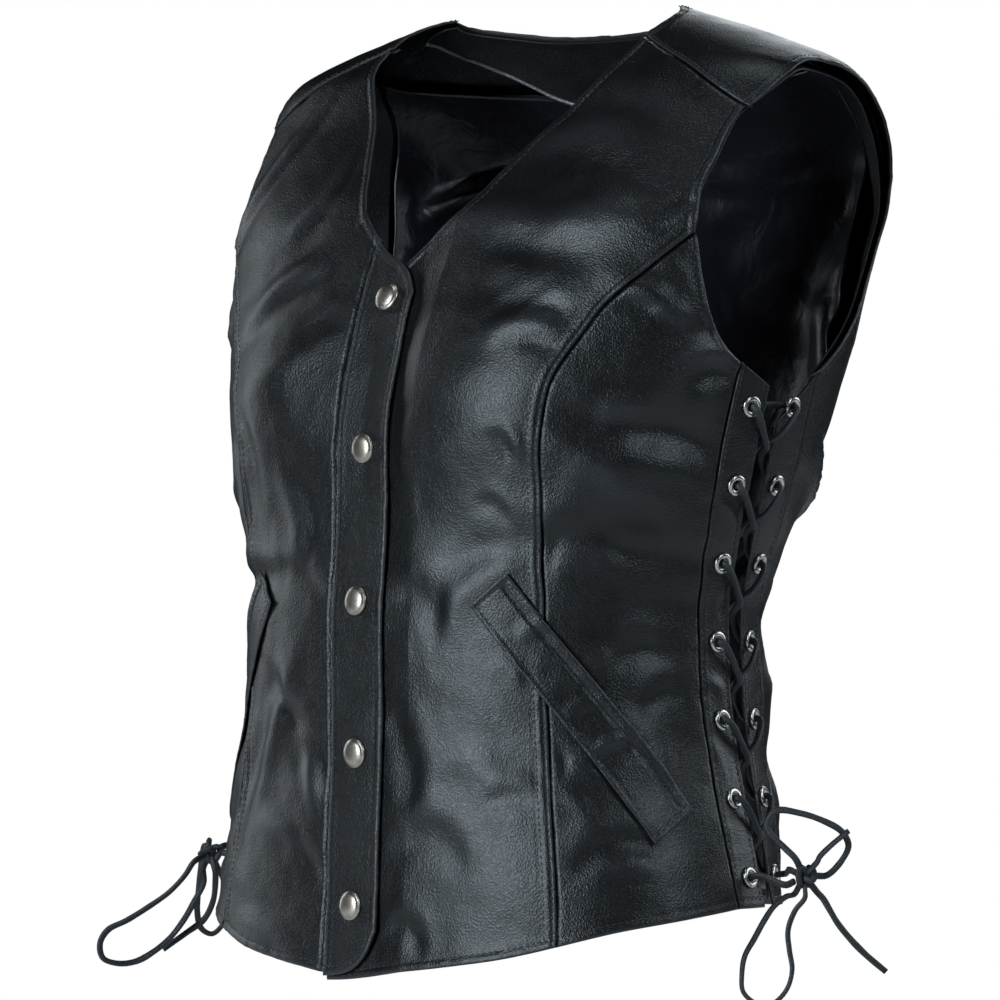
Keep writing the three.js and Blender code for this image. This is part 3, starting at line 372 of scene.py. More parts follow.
def section(z):
    heights = SECTIONS[:, 0]
    slopes = np.empty_like(SECTIONS)
    slopes[1:-1] = (SECTIONS[2:] - SECTIONS[:-2]) / (heights[2:] - heights[:-2])[:, None]
    slopes[0] = (SECTIONS[1] - SECTIONS[0]) / (heights[1] - heights[0])
    slopes[-1] = (SECTIONS[-1] - SECTIONS[-2]) / (heights[-1] - heights[-2])
    z = np.clip(z, heights[0], heights[-1])
    index = np.clip(np.searchsorted(heights, z) - 1, 0, len(heights) - 2)
    step = (heights[index + 1] - heights[index])[..., None]
    t = (z - heights[index])[..., None] / step
    low = SECTIONS[index]
    high = SECTIONS[index + 1]
    return (low * (1 + 2 * t) * (1 - t) ** 2 + high * t * t * (3 - 2 * t)
            + step * (slopes[index] * t * (1 - t) ** 2 + slopes[index + 1] * t * t * (t - 1)))


def ring_point(turn, z):
    turn, z = np.broadcast_arrays(np.asarray(turn, float), np.asarray(z, float))
    ring = section(z)
    angle = np.radians(np.abs(turn))
    sine, cosine = np.sin(angle), np.cos(angle)
    square = np.where(cosine > 0, ring[..., 5], ring[..., 6])
    depth = np.where(cosine > 0, ring[..., 2], ring[..., 3])
    reach = (np.abs(sine) ** square + np.abs(cosine) ** square) ** (-1 / square)
    x = ring[..., 1] * sine * reach
    aside = (x - BUST["x"]) / BUST["across"]
    above = (z - BUST["z"]) / BUST["up"]
    bulge = BUST["lift"] * np.exp(-aside ** 2 - above ** 2) * np.sqrt(np.clip(cosine, 0, 1))
    y = ring[..., 4] - depth * cosine * reach - bulge
    return np.where(turn < 0, -x, x), y


TURNS = np.arange(0, 181.0)
ARC_LOW = -500.0
ARC_HEIGHTS = np.arange(ARC_LOW, 23.0)


def measure_arcs():
    x, y = ring_point(TURNS[None, :], ARC_HEIGHTS[:, None])
    steps = np.hypot(np.diff(x, axis=1), np.diff(y, axis=1))
    return np.concatenate([np.zeros((len(ARC_HEIGHTS), 1)), np.cumsum(steps, axis=1)], axis=1)


ARCS = measure_arcs()


def arc_rows(z):
    place = np.clip(z - ARC_LOW, 0, len(ARC_HEIGHTS) - 1.001)
    low = place.astype(int)
    share = (place - low)[:, None]
    return ARCS[low] * (1 - share) + ARCS[low + 1] * share


def turn_at(z, along):
    arcs = arc_rows(z)
    target = np.abs(along)[:, None]
    beyond = arcs > target
    index = np.where(beyond.any(axis=1), beyond.argmax(axis=1), 180)
    index = np.clip(index, 1, 180)
    rows = np.arange(len(z))
    before, after = arcs[rows, index - 1], arcs[rows, index]
    return np.sign(along) * (index - 1 + (target[:, 0] - before) / (after - before))


def along_at(z, turn):
    arcs = arc_rows(z)
    turn = np.where(turn > 180, turn - 360, turn)
    place = np.clip(np.abs(turn), 0, 179.999)
    index = place.astype(int)
    rows = np.arange(len(z))
    low, high = arcs[rows, index], arcs[rows, index + 1]
    return np.sign(turn) * (low + (high - low) * (place - index))


def smooth_point(turn, z):
    x, y = ring_point(turn, z)
    return np.stack([x, y, np.asarray(z, float)], axis=-1)


def unit(v):
    return v / np.maximum(np.linalg.norm(v, axis=-1, keepdims=True), 1e-9)


def outward(turn, z):
    round_ = smooth_point(turn + 0.5, z) - smooth_point(turn - 0.5, z)
    up = smooth_point(turn, z + 0.5) - smooth_point(turn, z - 0.5)
    return unit(np.cross(round_, up))


def fold_height(turn, z):
    along = along_at(z, turn)
    half = arc_rows(z)[:, -1]
    height = np.zeros(len(z))
    for fold_z, fold_along, lean, half_length, half_width, rise in FOLDS:
        aside = along - fold_along
        aside = np.where(np.abs(aside) > half, aside - np.sign(aside) * 2 * half, aside)
        angle = math.radians(lean) * math.copysign(1, fold_along)
        up = z - fold_z
        length = (up * math.cos(angle) - aside * math.sin(angle)) / half_length
        width = (up * math.sin(angle) + aside * math.cos(angle)) / half_width
        height += rise * np.exp(-length ** 2 - width ** 2)
    return height


def ridge(u, v, row, scale=1.0):
    """Height of one crease at places u, v: a soft ridge with a shallow trough beside it."""
    v0, u0, v1, u1, half_width, rise = row
    du, dv = u - (u0 + u1) / 2, v - (v0 + v1) / 2
    half_length = math.hypot(u1 - u0, v1 - v0) / 2
    cu, cv = (u1 - u0) / (2 * half_length), (v1 - v0) / (2 * half_length)
    on = (du * cu + dv * cv) / half_length
    off = (dv * cu - du * cv) / (half_width * scale)
    off = off + 0.7 * on ** 2 - 0.35
    profile = np.exp(-off ** 2) - 0.42 * np.exp(-((off - 1.9) / 0.9) ** 2)
    return rise * np.exp(-(on * 0.95) ** 4) * profile


def crease_height(turn, z):
    along = along_at(z, turn)
    return sum(ridge(along, z, row) for row in CREASES)


def noise(points, cell, seed):
    """Smooth value noise from -1 to 1, the same on every run."""
    q = points / cell
    base = np.floor(q)
    f = q - base
    f = f * f * (3 - 2 * f)
    total = np.zeros(len(points))
    for corner in range(8):
        offset = np.array([corner & 1, corner >> 1 & 1, corner >> 2 & 1])
        key = (base + offset) @ np.array([127.1, 311.7, 74.7]) + seed * 19.19
        value = np.sin(key) * 43758.5453
        weight = np.prod(np.where(offset, f, 1 - f), axis=1)
        total += (2 * (value - np.floor(value)) - 1) * weight
    return total


def mottle(points, seed):
    """The soft unevenness of worn leather."""
    wide = points * np.array([1.0, 1.0, 1.5])
    return (0.75 * noise(wide, 36, seed) + 0.26 * noise(wide, 15, seed + 1)
            + 0.15 * noise(points, 7, seed + 2) + 0.06 * noise(points, 3.6, seed + 3))


def waver(s, seed):
    """Uneven ripples along a seam."""
    swing = 0.55 + 0.45 * np.sin(s / 21.7 + seed * 2.1) * np.sin(s / 9.1 + seed)
    return swing * (np.sin(s / 1.75 + seed) + 0.7 * np.sin(s / 1.13 + 1.7 * seed)
                    + 0.8 * np.sin(s / 3.1 + 0.6 * seed)) / 2


# Edges and patches, as places on the form: turn times TURN_SCALE, and height

TURN_SCALE = 2.4


def catmull_rom(points, t):
    points = np.asarray(points, float)
    last = len(points) - 1
    place = np.clip(t, 0, 1) * last
    index = np.minimum(place.astype(int), last - 1)
    w = (place - index)[:, None]
    p0 = points[np.maximum(index - 1, 0)]
    p1, p2 = points[index], points[index + 1]
    p3 = points[np.minimum(index + 2, last)]
    v0, v1 = (p2 - p0) / 2, (p3 - p1) / 2
    return ((2 * p1 - 2 * p2 + v0 + v1) * w ** 3 + (-3 * p1 + 3 * p2 - 2 * v0 - v1) * w ** 2
            + v0 * w + p1)


def lengths(points):
    steps = np.linalg.norm(np.diff(points, axis=0), axis=1)
    return np.concatenate([[0], np.cumsum(steps)])


def spaced(places, shares):
    places = np.asarray(places, float)
    shares = np.asarray(shares, float)
    if len(places) == 2:
        return places[0] + (places[1] - places[0]) * shares[:, None]
    t = np.linspace(0, 1, 401)
    marks = lengths(catmull_rom(places, t))
    return catmull_rom(places, np.interp(shares * marks[-1], marks, t))


def spaced_on_form(rows, shares):
    """The same, evenly spaced on the leather itself."""
    fine = catmull_rom(over_places(rows), np.linspace(0, 1, 401))
    marks = lengths(smooth_point(fine[:, 0] / TURN_SCALE, fine[:, 1]))
    return np.stack([np.interp(np.asarray(shares) * marks[-1], marks, fine[:, k]) for k in (0, 1)], 1)


def seam_places(rows):
    z, along = np.array(rows, float).T
    return np.stack([turn_at(z, along) * TURN_SCALE, z], axis=1)


def over_places(rows):
    turn, z = np.array(rows, float).T
    return np.stack([turn * TURN_SCALE, z], axis=1)


def seam(rows, shares):
    return spaced(seam_places(rows), shares)


def over_edge(rows, shares):
    return spaced(over_places(rows), shares)


def beside(edge, distance):
    turn, z = edge[:, 0] / TURN_SCALE, edge[:, 1]
    along = along_at(z, turn) + distance
    return np.stack([turn_at(z, along) * TURN_SCALE, z], axis=1)


def patch(bottom, top, start, end, u, v):
    """Fills four edges that share their corners."""
    u = np.asarray(u)[None, :, None]
    v = np.asarray(v)[:, None, None]
    return ((1 - v) * bottom[None] + v * top[None] + (1 - u) * start[:, None] + u * end[:, None]
            - (1 - u) * (1 - v) * bottom[0] - u * (1 - v) * bottom[-1]
            - (1 - u) * v * top[0] - u * v * top[-1])


def flipped(grid):
    return grid[:, ::-1] * np.array([-1, 1])


def flipped_edge(edge):
    return edge * np.array([-1, 1])


def wrapped(grid):
    return grid + np.array([360 * TURN_SCALE, 0])


NEAR_EDGE = [0, 0.3, 0.8, 1.5, 2.4, 3.4, 4.4, 5.4, 6.6, 8.2, 10.2]


def graded(length, step, start=True, end=True):
    """Shares of an edge, close together near the ends that carry stitching."""
    low = np.array(NEAR_EDGE if start else [0.0])
    high = length - np.array(NEAR_EDGE if end else [0.0])[::-1]
    count = max(1, round((high[0] - low[-1]) / step))
    middle = np.linspace(low[-1], high[0], count + 1)[1:-1]
    return np.concatenate([low, middle, high]) / length


def on_form(edge):
    return smooth_point(edge[:, 0] / TURN_SCALE, edge[:, 1])


# How far each way along an edge its direction is taken from.
RUN_WINDOW = 6.0


def inset(edge, distance):
    """Moves an edge across the leather, to its right as it runs."""
    steps = 6
    distance = np.broadcast_to(distance, len(edge))
    current = edge.copy()
    spacing = lengths(on_form(edge))[-1] / (len(edge) - 1)
    window = max(1, round(RUN_WINDOW / spacing))
    order = np.arange(len(edge))
    ahead, behind = np.minimum(order + window, len(edge) - 1), np.maximum(order - window, 0)
    for _ in range(steps):
        turn, z = current[:, 0] / TURN_SCALE, current[:, 1]
        solid = smooth_point(turn, z)
        run = solid[ahead] - solid[behind]
        aim = unit(np.cross(run, outward(turn, z))) * (distance / steps)[:, None]
        round_ = smooth_point(turn + 0.5, z) - smooth_point(turn - 0.5, z)
        up = smooth_point(turn, z + 0.5) - smooth_point(turn, z - 0.5)
        rr, ru, uu = (round_ ** 2).sum(1), (round_ * up).sum(1), (up ** 2).sum(1)
        ra, ua = (round_ * aim).sum(1), (up * aim).sum(1)
        det = rr * uu - ru * ru
        turned, raised = (ra * uu - ua * ru) / det, (ua * rr - ra * ru) / det
        current = np.stack([(turn + turned) * TURN_SCALE, z + raised], axis=1)
    return current


def nearest(points, line):
    """Distance of each point from a line, and how far along the line its nearest place is."""
    marks = lengths(line)
    best = np.full(len(points), 1e9)
    where = np.zeros(len(points))
    for k in range(len(line) - 1):
        step = line[k + 1] - line[k]
        size = step @ step
        if size < 1e-12:
            continue
        t = np.clip(((points - line[k]) @ step) / size, 0, 1)
        distance = np.linalg.norm(points - line[k] - t[:, None] * step, axis=1)
        closer = distance < best
        best = np.where(closer, distance, best)
        where = np.where(closer, marks[k] + t * (marks[k + 1] - marks[k]), where)
    return best, where


# Panels: a thin shell with its creases, edges and sewing

# How the leather behaves by each kind of line.
# Columns: rise along the line and its reach, how far the edge turns down,
# distances of the stitch rows, height of the ripples and their reach.
LINE_COLUMNS = ["lift", "lift_reach", "roll", "stitches", "pucker", "reach"]
LINE_ROWS = {
    "edge": [0.55, 5.0, 0.72, [4.4], 0.30, 6],
    "narrow": [0.30, 4.0, 0.72, [3.0], 0.22, 5],
    "lap": [0.55, 7.5, 0.80, [1.9, 6.5], 0.34, 8],
    "lap_single": [0.40, 4.0, 0.75, [2.0], 0.28, 7],
    "under": [-2.0, 2.7, 0.0, [], 0.34, 8],
    "slot": [-1.2, 0.9, 0, [], 0.1, 3],
    "plain": [0.0, 3.0, 0.6, [], 0.0, 5],
}
LINES = {kind: dict(zip(LINE_COLUMNS, row)) for kind, row in LINE_ROWS.items()}

STITCH_PITCH = 3.4
STITCH_LENGTH = 2.7
STITCH_RADIUS = 0.34


class Panel:
    """One piece of leather or cloth: its outline, and the height of its face anywhere."""

    def __init__(self, name, grids, rise=0.0, thickness=LEATHER, seed=1, rough=1.0, crease=1.0, sign=1):
        self.name = name
        self.sign = sign
        self.grids = grids if sign > 0 else [flipped(grid) for grid in grids]
        self.rise = rise
        self.thickness = thickness
        self.seed = seed
        self.rough = rough
        self.crease = crease
        self.lines = []
        self.holes = []
        self.dents = []
        self.extra = None

    def line(self, kind, edge):
        edge = edge if self.sign > 0 else flipped_edge(edge)
        self.lines.append((LINES[kind], on_form(edge), edge))
        return self

    def relief(self, turn, z):
        """Height over the smooth form, how far the edge turns down, and wear from 0 to 1."""
        points = smooth_point(turn, z)
        base = self.rise(turn, z) if callable(self.rise) else np.full(len(z), float(self.rise))
        crease = 1.15 * self.crease * crease_height(turn, z) if self.crease else np.zeros(len(z))
        height = base + fold_height(turn, z) + crease
        height += self.rough * mottle(points, self.seed)
        wear = np.clip(crease / 3.0, 0, 0.6)
        roll = np.zeros(len(z))
        for number, (kind, line, _) in enumerate(self.lines):
            distance, where = nearest(points, line)
            height += kind["lift"] * np.exp(-(distance / kind["lift_reach"]) ** 4)
            ripple = waver(where, self.seed + number)
            height += kind["pucker"] * ripple * np.exp(-(distance / kind["reach"]) ** 2)
            for row in kind["stitches"]:
                height -= 0.42 * np.exp(-((distance - row) / 0.85) ** 2)
            inner = np.clip(1 - distance / 1.5, 0, 1)
            roll = np.maximum(roll, kind["roll"] * (1 - np.sqrt(1 - inner ** 2)))
            wear = np.maximum(wear, 0.9 * np.exp(-(distance / 1.3) ** 2) * (kind["lift"] > 0))
        for centre, radius, depth in self.dents:
            distance = np.linalg.norm(points - centre, axis=1)
            height -= depth * np.exp(-(distance / radius) ** 2)
        if self.extra is not None:
            height += self.extra(turn, z)
        return height, roll, wear

    def surface(self, turn, z, offset=0.0):
        height, roll, _ = self.relief(turn, z)
        return smooth_point(turn, z) + outward(turn, z) * (height - roll + offset)[:, None]

    def build(self, material, slot_name):
        spots = np.concatenate([grid.reshape(-1, 2) for grid in self.grids])
        _, first, index = np.unique(np.round(spots, 2), axis=0, return_index=True, return_inverse=True)
        index = index.reshape(-1)
        spots = spots[first]
        turn, z = spots[:, 0] / TURN_SCALE, spots[:, 1]
        height, roll, wear = self.relief(turn, z)
        points, normal = smooth_point(turn, z), outward(turn, z)
        half = self.thickness / 2
        outer = points + normal * (height - roll * half * 1.25)[:, None]
        inner = points + normal * (height - self.thickness + roll * half * 0.6)[:, None]
        quads = []
        start = 0
        for grid in self.grids:
            rows, columns = grid.shape[:2]
            ids = index[start:start + rows * columns].reshape(rows, columns)
            start += rows * columns
            corners = [ids[:-1, :-1], ids[:-1, 1:], ids[1:, 1:], ids[1:, :-1]]
            quads.append(np.stack(corners, -1).reshape(-1, 4))
        quads = np.concatenate(quads)
        for centre, radius in self.holes:
            middle = points[quads].mean(axis=1)
            quads = quads[np.linalg.norm(middle - centre, axis=1) > radius]
        faces = whole_faces(quads)
        count = len(spots)
        back = [tuple(i + count for i in reversed(face)) for face in faces]
        rim = [(a, a + count, b + count, b) for a, b in free_edges(faces)]
        vertices = np.concatenate([outer, inner])
        obj = make_mesh(self.name, vertices, faces + back + rim, material)
        add_wear(obj, np.concatenate([wear, wear]))
        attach(obj, "root")
        return obj

    def sew(self, thread):
        """One small thread mesh for all the stitch rows of this piece."""
        vertices, faces = [], []
        for kind, _, edge in self.lines:
            for row in kind["stitches"]:
                side = self.side_of(edge, row)
                self.stitch_line(side, vertices, faces)
        if not faces:
            return None
        obj = make_mesh(self.name + "_stitches", np.concatenate(vertices), faces, thread)
        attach(obj, "root")
        return obj

    def side_of(self, edge, distance):
        """The line at a distance inside the edge, whichever way the edge runs."""
        middle = np.concatenate([grid.reshape(-1, 2) for grid in self.grids])
        options = [inset(edge, distance), inset(edge[::-1], distance)[::-1]]
        tested = on_form(middle[:: max(1, len(middle) // 3000)])
        sums = []
        for option in options:
            line = on_form(option)[:: max(1, len(option) // 12)]
            sums.append(sum(np.linalg.norm(tested - spot, axis=1).min() for spot in line))
        return options[int(np.argmin(sums))]

    def stitch_line(self, edge, vertices, faces):
        marks = lengths(on_form(edge))
        starts = np.arange(3.0, marks[-1] - 4.0, STITCH_PITCH)
        if len(starts) == 0:
            return
        shares = np.array([0.0, 0.3, 0.7, 1.0])
        rings = starts[:, None] + shares[None, :] * STITCH_LENGTH
        flat = rings.reshape(-1)
        turn = np.interp(flat, marks, edge[:, 0]) / TURN_SCALE
        z = np.interp(flat, marks, edge[:, 1])
        lift = np.tile([-0.30, 0.20, 0.20, -0.30], len(starts))
        centre = self.surface(turn, z, lift).reshape(len(starts), 4, 3)
        normal = outward(turn, z).reshape(len(starts), 4, 3)
        run = unit(centre[:, -1] - centre[:, 0])[:, None, :]
        across = unit(np.cross(run, normal))
        first = sum(len(v) for v in vertices)
        wide, tall = across * STITCH_RADIUS, normal * STITCH_RADIUS * 0.75
        ring = [wide, tall, -wide, -tall]
        block = np.stack([centre + r for r in ring], axis=2).reshape(-1, 3)
        vertices.append(block)
        for k in range(len(starts)):
            faces += tube_faces(4, 4, first + k * 16)


def tube_faces(rings, sides, origin=0):
    """The faces between rings of points that follow one another."""
    faces = []
    for j in range(rings - 1):
        for i in range(sides):
            a, b = origin + j * sides + i, origin + j * sides + (i + 1) % sides
            faces.append((a, b, b + sides, a + sides))
    return faces


def whole_faces(quads):
    faces = []
    for quad in quads.tolist():
        face = []
        for i in quad:
            if i not in face:
                face.append(i)
        if len(face) > 2:
            faces.append(tuple(face))
    return faces


def free_edges(faces):
    edges = set()
    for face in faces:
        for k, a in enumerate(face):
            b = face[(k + 1) % len(face)]
            if (b, a) in edges:
                edges.remove((b, a))
            else:
                edges.add((a, b))
    return sorted(edges)


def make_mesh(name, vertices, faces, material, smooth=True):
    mesh = bpy.data.meshes.new(name)
    mesh.from_pydata((np.asarray(vertices) * MM).tolist(), [], faces)
    mesh.validate()
    if smooth:
        mesh.shade_smooth()
    mesh.materials.append(material)
    obj = bpy.data.objects.new(name, mesh)
    scene.collection.objects.link(obj)
    return obj


def add_wear(obj, values):
    layer = obj.data.attributes.new("wear", "FLOAT", "POINT")
    layer.data.foreach_set("value", np.asarray(values, dtype=np.float32))


# Materials


def nodes_of(name):
    material = bpy.data.materials.new(name)
    material.use_nodes = True
    tree = material.node_tree
    shader = tree.nodes["Principled BSDF"]
    coordinates = tree.nodes.new("ShaderNodeTexCoord")
    return material, tree, shader, coordinates.outputs["Object"]


def noise_node(tree, vector, scale, detail=3.0, roughness=0.55, distortion=0.0):
    node = tree.nodes.new("ShaderNodeTexNoise")
    node.inputs["Scale"].default_value = scale
    node.inputs["Detail"].default_value = detail
    node.inputs["Roughness"].default_value = roughness
    node.inputs["Distortion"].default_value = distortion
    tree.links.new(vector, node.inputs["Vector"])
    return node.outputs["Fac"]


def cells_node(tree, vector, scale):
    node = tree.nodes.new("ShaderNodeTexVoronoi")
    node.feature = "SMOOTH_F1"
    node.inputs["Scale"].default_value = scale
    node.inputs["Smoothness"].default_value = 0.6
    tree.links.new(vector, node.inputs["Vector"])
    return node.outputs["Distance"]


def ramp_node(tree, factor, stops):
    node = tree.nodes.new("ShaderNodeValToRGB")
    ramp = node.color_ramp
    while len(ramp.elements) < len(stops):
        ramp.elements.new(0.5)
    for element, (position, colour) in zip(ramp.elements, stops):
        element.position = position
        element.color = (*colour, 1)
    tree.links.new(factor, node.inputs["Fac"])
    return node.outputs["Color"]


def range_node(tree, value, low, high):
    node = tree.nodes.new("ShaderNodeMapRange")
    node.inputs["To Min"].default_value = low
    node.inputs["To Max"].default_value = high
    tree.links.new(value, node.inputs["Value"])
    return node.outputs["Result"]


def bump_node(tree, height, strength, distance, below=None):
    node = tree.nodes.new("ShaderNodeBump")
    node.inputs["Strength"].default_value = strength
    node.inputs["Distance"].default_value = distance
    tree.links.new(height, node.inputs["Height"])
    if below is not None:
        tree.links.new(below, node.inputs["Normal"])
    return node.outputs["Normal"]


def mix_node(tree, factor, first, second):
    node = tree.nodes.new("ShaderNodeMix")
    node.data_type = "RGBA"
    tree.links.new(factor, node.inputs["Factor"])
    tree.links.new(first, node.inputs[6])
    node.inputs[7].default_value = (*second, 1)
    return node.outputs[2]


def leather(name, dark, light, worn, low=0.28, high=0.43, grain=1050, coat=0.10):
    material, tree, shader, place = nodes_of(name)
    patches = noise_node(tree, place, 26, 4, 0.6, 0.3)
    colour = ramp_node(tree, patches, [(0.3, dark), (0.7, light)])
    wear = tree.nodes.new("ShaderNodeAttribute")
    wear.attribute_name = "wear"
    scuff = noise_node(tree, place, 420, 3, 0.6)
    worn_by = tree.nodes.new("ShaderNodeMath")
    worn_by.operation = "MULTIPLY"
    tree.links.new(wear.outputs["Fac"], worn_by.inputs[0])
    tree.links.new(scuff, worn_by.inputs[1])
    colour = mix_node(tree, worn_by.outputs[0], colour, worn)
    tree.links.new(colour, shader.inputs["Base Color"])
    tree.links.new(range_node(tree, noise_node(tree, place, 60, 5, 0.65, 0.4), low, high),
                   shader.inputs["Roughness"])
    wrinkles = bump_node(tree, noise_node(tree, place, 115, 6, 0.62, 0.5), 0.30, 0.0010)
    pebbles = bump_node(tree, cells_node(tree, place, grain), 0.58, 0.00036, wrinkles)
    pores = bump_node(tree, noise_node(tree, place, grain * 2.3, 2, 0.5), 0.42, 0.00018, pebbles)
    tree.links.new(pores, shader.inputs["Normal"])
    shader.inputs["Specular Tint"].default_value = (0.86, 0.95, 1.0, 1)
    shader.inputs["Coat Weight"].default_value = coat
    shader.inputs["Coat Roughness"].default_value = 0.32
    return material


def satin(name):
    material, tree, shader, place = nodes_of(name)
    shade = noise_node(tree, place, 18, 3, 0.5)
    tree.links.new(ramp_node(tree, shade, [(0.3, (0.004, 0.004, 0.007)), (0.7, (0.009, 0.009, 0.015))]),
                   shader.inputs["Base Color"])
    tree.links.new(range_node(tree, noise_node(tree, place, 40, 3, 0.5), 0.24, 0.36),
                   shader.inputs["Roughness"])
    weave = tree.nodes.new("ShaderNodeTexWave")
    weave.inputs["Scale"].default_value = 900
    weave.inputs["Distortion"].default_value = 0.6
    weave.bands_direction = "DIAGONAL"
    tree.links.new(place, weave.inputs["Vector"])
    crumple = bump_node(tree, noise_node(tree, place, 48, 4, 0.5, 0.8), 0.5, 0.0022)
    threads = bump_node(tree, weave.outputs["Fac"], 0.12, 0.00012, crumple)
    tree.links.new(threads, shader.inputs["Normal"])
    shader.inputs["Specular Tint"].default_value = (0.9, 0.9, 1.0, 1)
    shader.inputs["Sheen Weight"].default_value = 0.12
    shader.inputs["Sheen Roughness"].default_value = 0.35
    return material


def metal(name, dark, light, low, high, scratch=700, bump=0.16):
    material, tree, shader, place = nodes_of(name)
    cloud = noise_node(tree, place, 240, 4, 0.6)
    tree.links.new(ramp_node(tree, cloud, [(0.32, dark), (0.68, light)]), shader.inputs["Base Color"])
    tree.links.new(range_node(tree, noise_node(tree, place, scratch, 4, 0.7), low, high),
                   shader.inputs["Roughness"])
    tree.links.new(bump_node(tree, noise_node(tree, place, scratch, 3, 0.6), bump, 0.00025),
                   shader.inputs["Normal"])
    shader.inputs["Metallic"].default_value = 1.0
    return material


def twist(name):
    material, tree, shader, place = nodes_of(name)
    shade = noise_node(tree, place, 900, 3, 0.6)
    tree.links.new(ramp_node(tree, shade, [(0.3, (0.010, 0.011, 0.013)), (0.7, (0.040, 0.043, 0.048))]),
                   shader.inputs["Base Color"])
    shader.inputs["Roughness"].default_value = 0.5
    tree.links.new(bump_node(tree, noise_node(tree, place, 2600, 2, 0.5), 0.3, 0.0002),
                   shader.inputs["Normal"])
    return material


def pale(name, colour):
    material, tree, shader, place = nodes_of(name)
    shade = noise_node(tree, place, 3, 2, 0.5)
    near = tuple(c * 0.97 for c in colour)
    tree.links.new(ramp_node(tree, shade, [(0.3, near), (0.7, colour)]), shader.inputs["Base Color"])
    shader.inputs["Roughness"].default_value = 0.8
    return material


LEATHER_SKIN = leather("black_leather", (0.0020, 0.0023, 0.0028), (0.0050, 0.0056, 0.0066),
                       (0.040, 0.044, 0.050))
PLACKET_SKIN = leather("placket_leather", (0.0020, 0.0022, 0.0026), (0.0048, 0.0053, 0.0060),
                       (0.060, 0.064, 0.070), 0.30, 0.50)
FACING_SKIN = leather("facing_leather", (0.0020, 0.0020, 0.0028), (0.0050, 0.0050, 0.0064),
                      (0.020, 0.020, 0.025), 0.38, 0.58, 760, 0.0)
LACE_SKIN = leather("lace_leather", (0.0090, 0.0110, 0.0140), (0.0200, 0.0235, 0.0280),
                    (0.070, 0.074, 0.080), 0.42, 0.62, 1100, 0.0)
SATIN = satin("black_satin")
SNAP_METAL = metal("pewter_snap", (0.36, 0.335, 0.29), (0.60, 0.565, 0.50), 0.24, 0.44)
EYELET_METAL = metal("nickel_eyelet", (0.42, 0.41, 0.385), (0.74, 0.73, 0.70), 0.18, 0.36, 900, 0.10)
THREAD = twist("black_thread")
# Mid-grey colours on the piping are a painted highlight: the thin bright line along the neck facing's
# hem, lighter still on its worn edges.
PIPING_PAINTED_HIGHLIGHT_SKIN = leather("piping_painted_highlight", (0.10, 0.10, 0.11), (0.22, 0.22, 0.235),
                      (0.40, 0.40, 0.42), 0.14, 0.24, 900, 0.6)

# Laces and bows. The free parts come first, as lines to follow.


def smooth_route(points, per=8):
    """A centripetal curve through all the points."""
    points = np.asarray(points, float)
    first, last = 2 * points[0] - points[1], 2 * points[-1] - points[-2]
    p = np.concatenate([[first], points, [last]])
    result = []
    for k in range(1, len(p) - 2):
        d0, d1, d2 = (max(np.linalg.norm(p[k + j] - p[k + j - 1]) ** 0.5, 1e-4) for j in (0, 1, 2))
        t1 = d1 * ((p[k] - p[k - 1]) / d0 - (p[k + 1] - p[k - 1]) / (d0 + d1) + (p[k + 1] - p[k]) / d1)
        t2 = d1 * ((p[k + 1] - p[k]) / d1 - (p[k + 2] - p[k]) / (d1 + d2) + (p[k + 2] - p[k + 1]) / d2)
        t = np.linspace(0, 1, per, endpoint=False)[:, None]
        result.append(p[k] + t1 * t + (3 * (p[k + 1] - p[k]) - 2 * t1 - t2) * t ** 2
                      + (2 * (p[k] - p[k + 1]) + t1 + t2) * t ** 3)
    return np.concatenate(result + [points[-1:]])


def evenly(points, step):
    marks = lengths(points)
    count = max(2, round(marks[-1] / step))
    target = np.linspace(0, marks[-1], count + 1)
    return np.stack([np.interp(target, marks, points[:, k]) for k in range(3)], axis=1)


def thong(name, path, wide=3.5, thick=2.5, sides=12, skin=None):
    """A flat-sided leather lace along a path."""
    centre = evenly(path, 1.6)
    run = unit(np.gradient(centre, axis=0))
    normal = np.cross(run[0], [0.3, 0.2, 1.0])
    normal /= np.linalg.norm(normal)
    marks = lengths(centre)
    rings, wear = [], []
    angle = np.linspace(0, 2 * np.pi, sides, endpoint=False)
    for k, direction in enumerate(run):
        normal = normal - direction * (normal @ direction)
        normal /= np.linalg.norm(normal)
        across = np.cross(direction, normal)
        roll = 0.35 * math.sin(marks[k] / 17)
        swell = 1 + 0.05 * math.sin(marks[k] / 5.3) + 0.03 * math.sin(marks[k] / 2.1)
        x = wide / 2 * swell * np.sign(np.cos(angle)) * np.abs(np.cos(angle)) ** 0.75
        y = thick / 2 * np.sign(np.sin(angle)) * np.abs(np.sin(angle)) ** 0.75
        a = across * math.cos(roll) + normal * math.sin(roll)
        b = normal * math.cos(roll) - across * math.sin(roll)
        rings.append(centre[k] + x[:, None] * a + y[:, None] * b)
        wear.append(np.abs(np.cos(angle)) ** 6 * 0.7)
    count = len(rings)
    faces = tube_faces(count, sides)
    faces.append(tuple(range(sides))[::-1])
    faces.append(tuple(range((count - 1) * sides, count * sides)))
    obj = make_mesh(name, np.concatenate(rings), faces, skin or LACE_SKIN)
    add_wear(obj, np.concatenate(wear))
    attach(obj, "root")
    return obj, centre


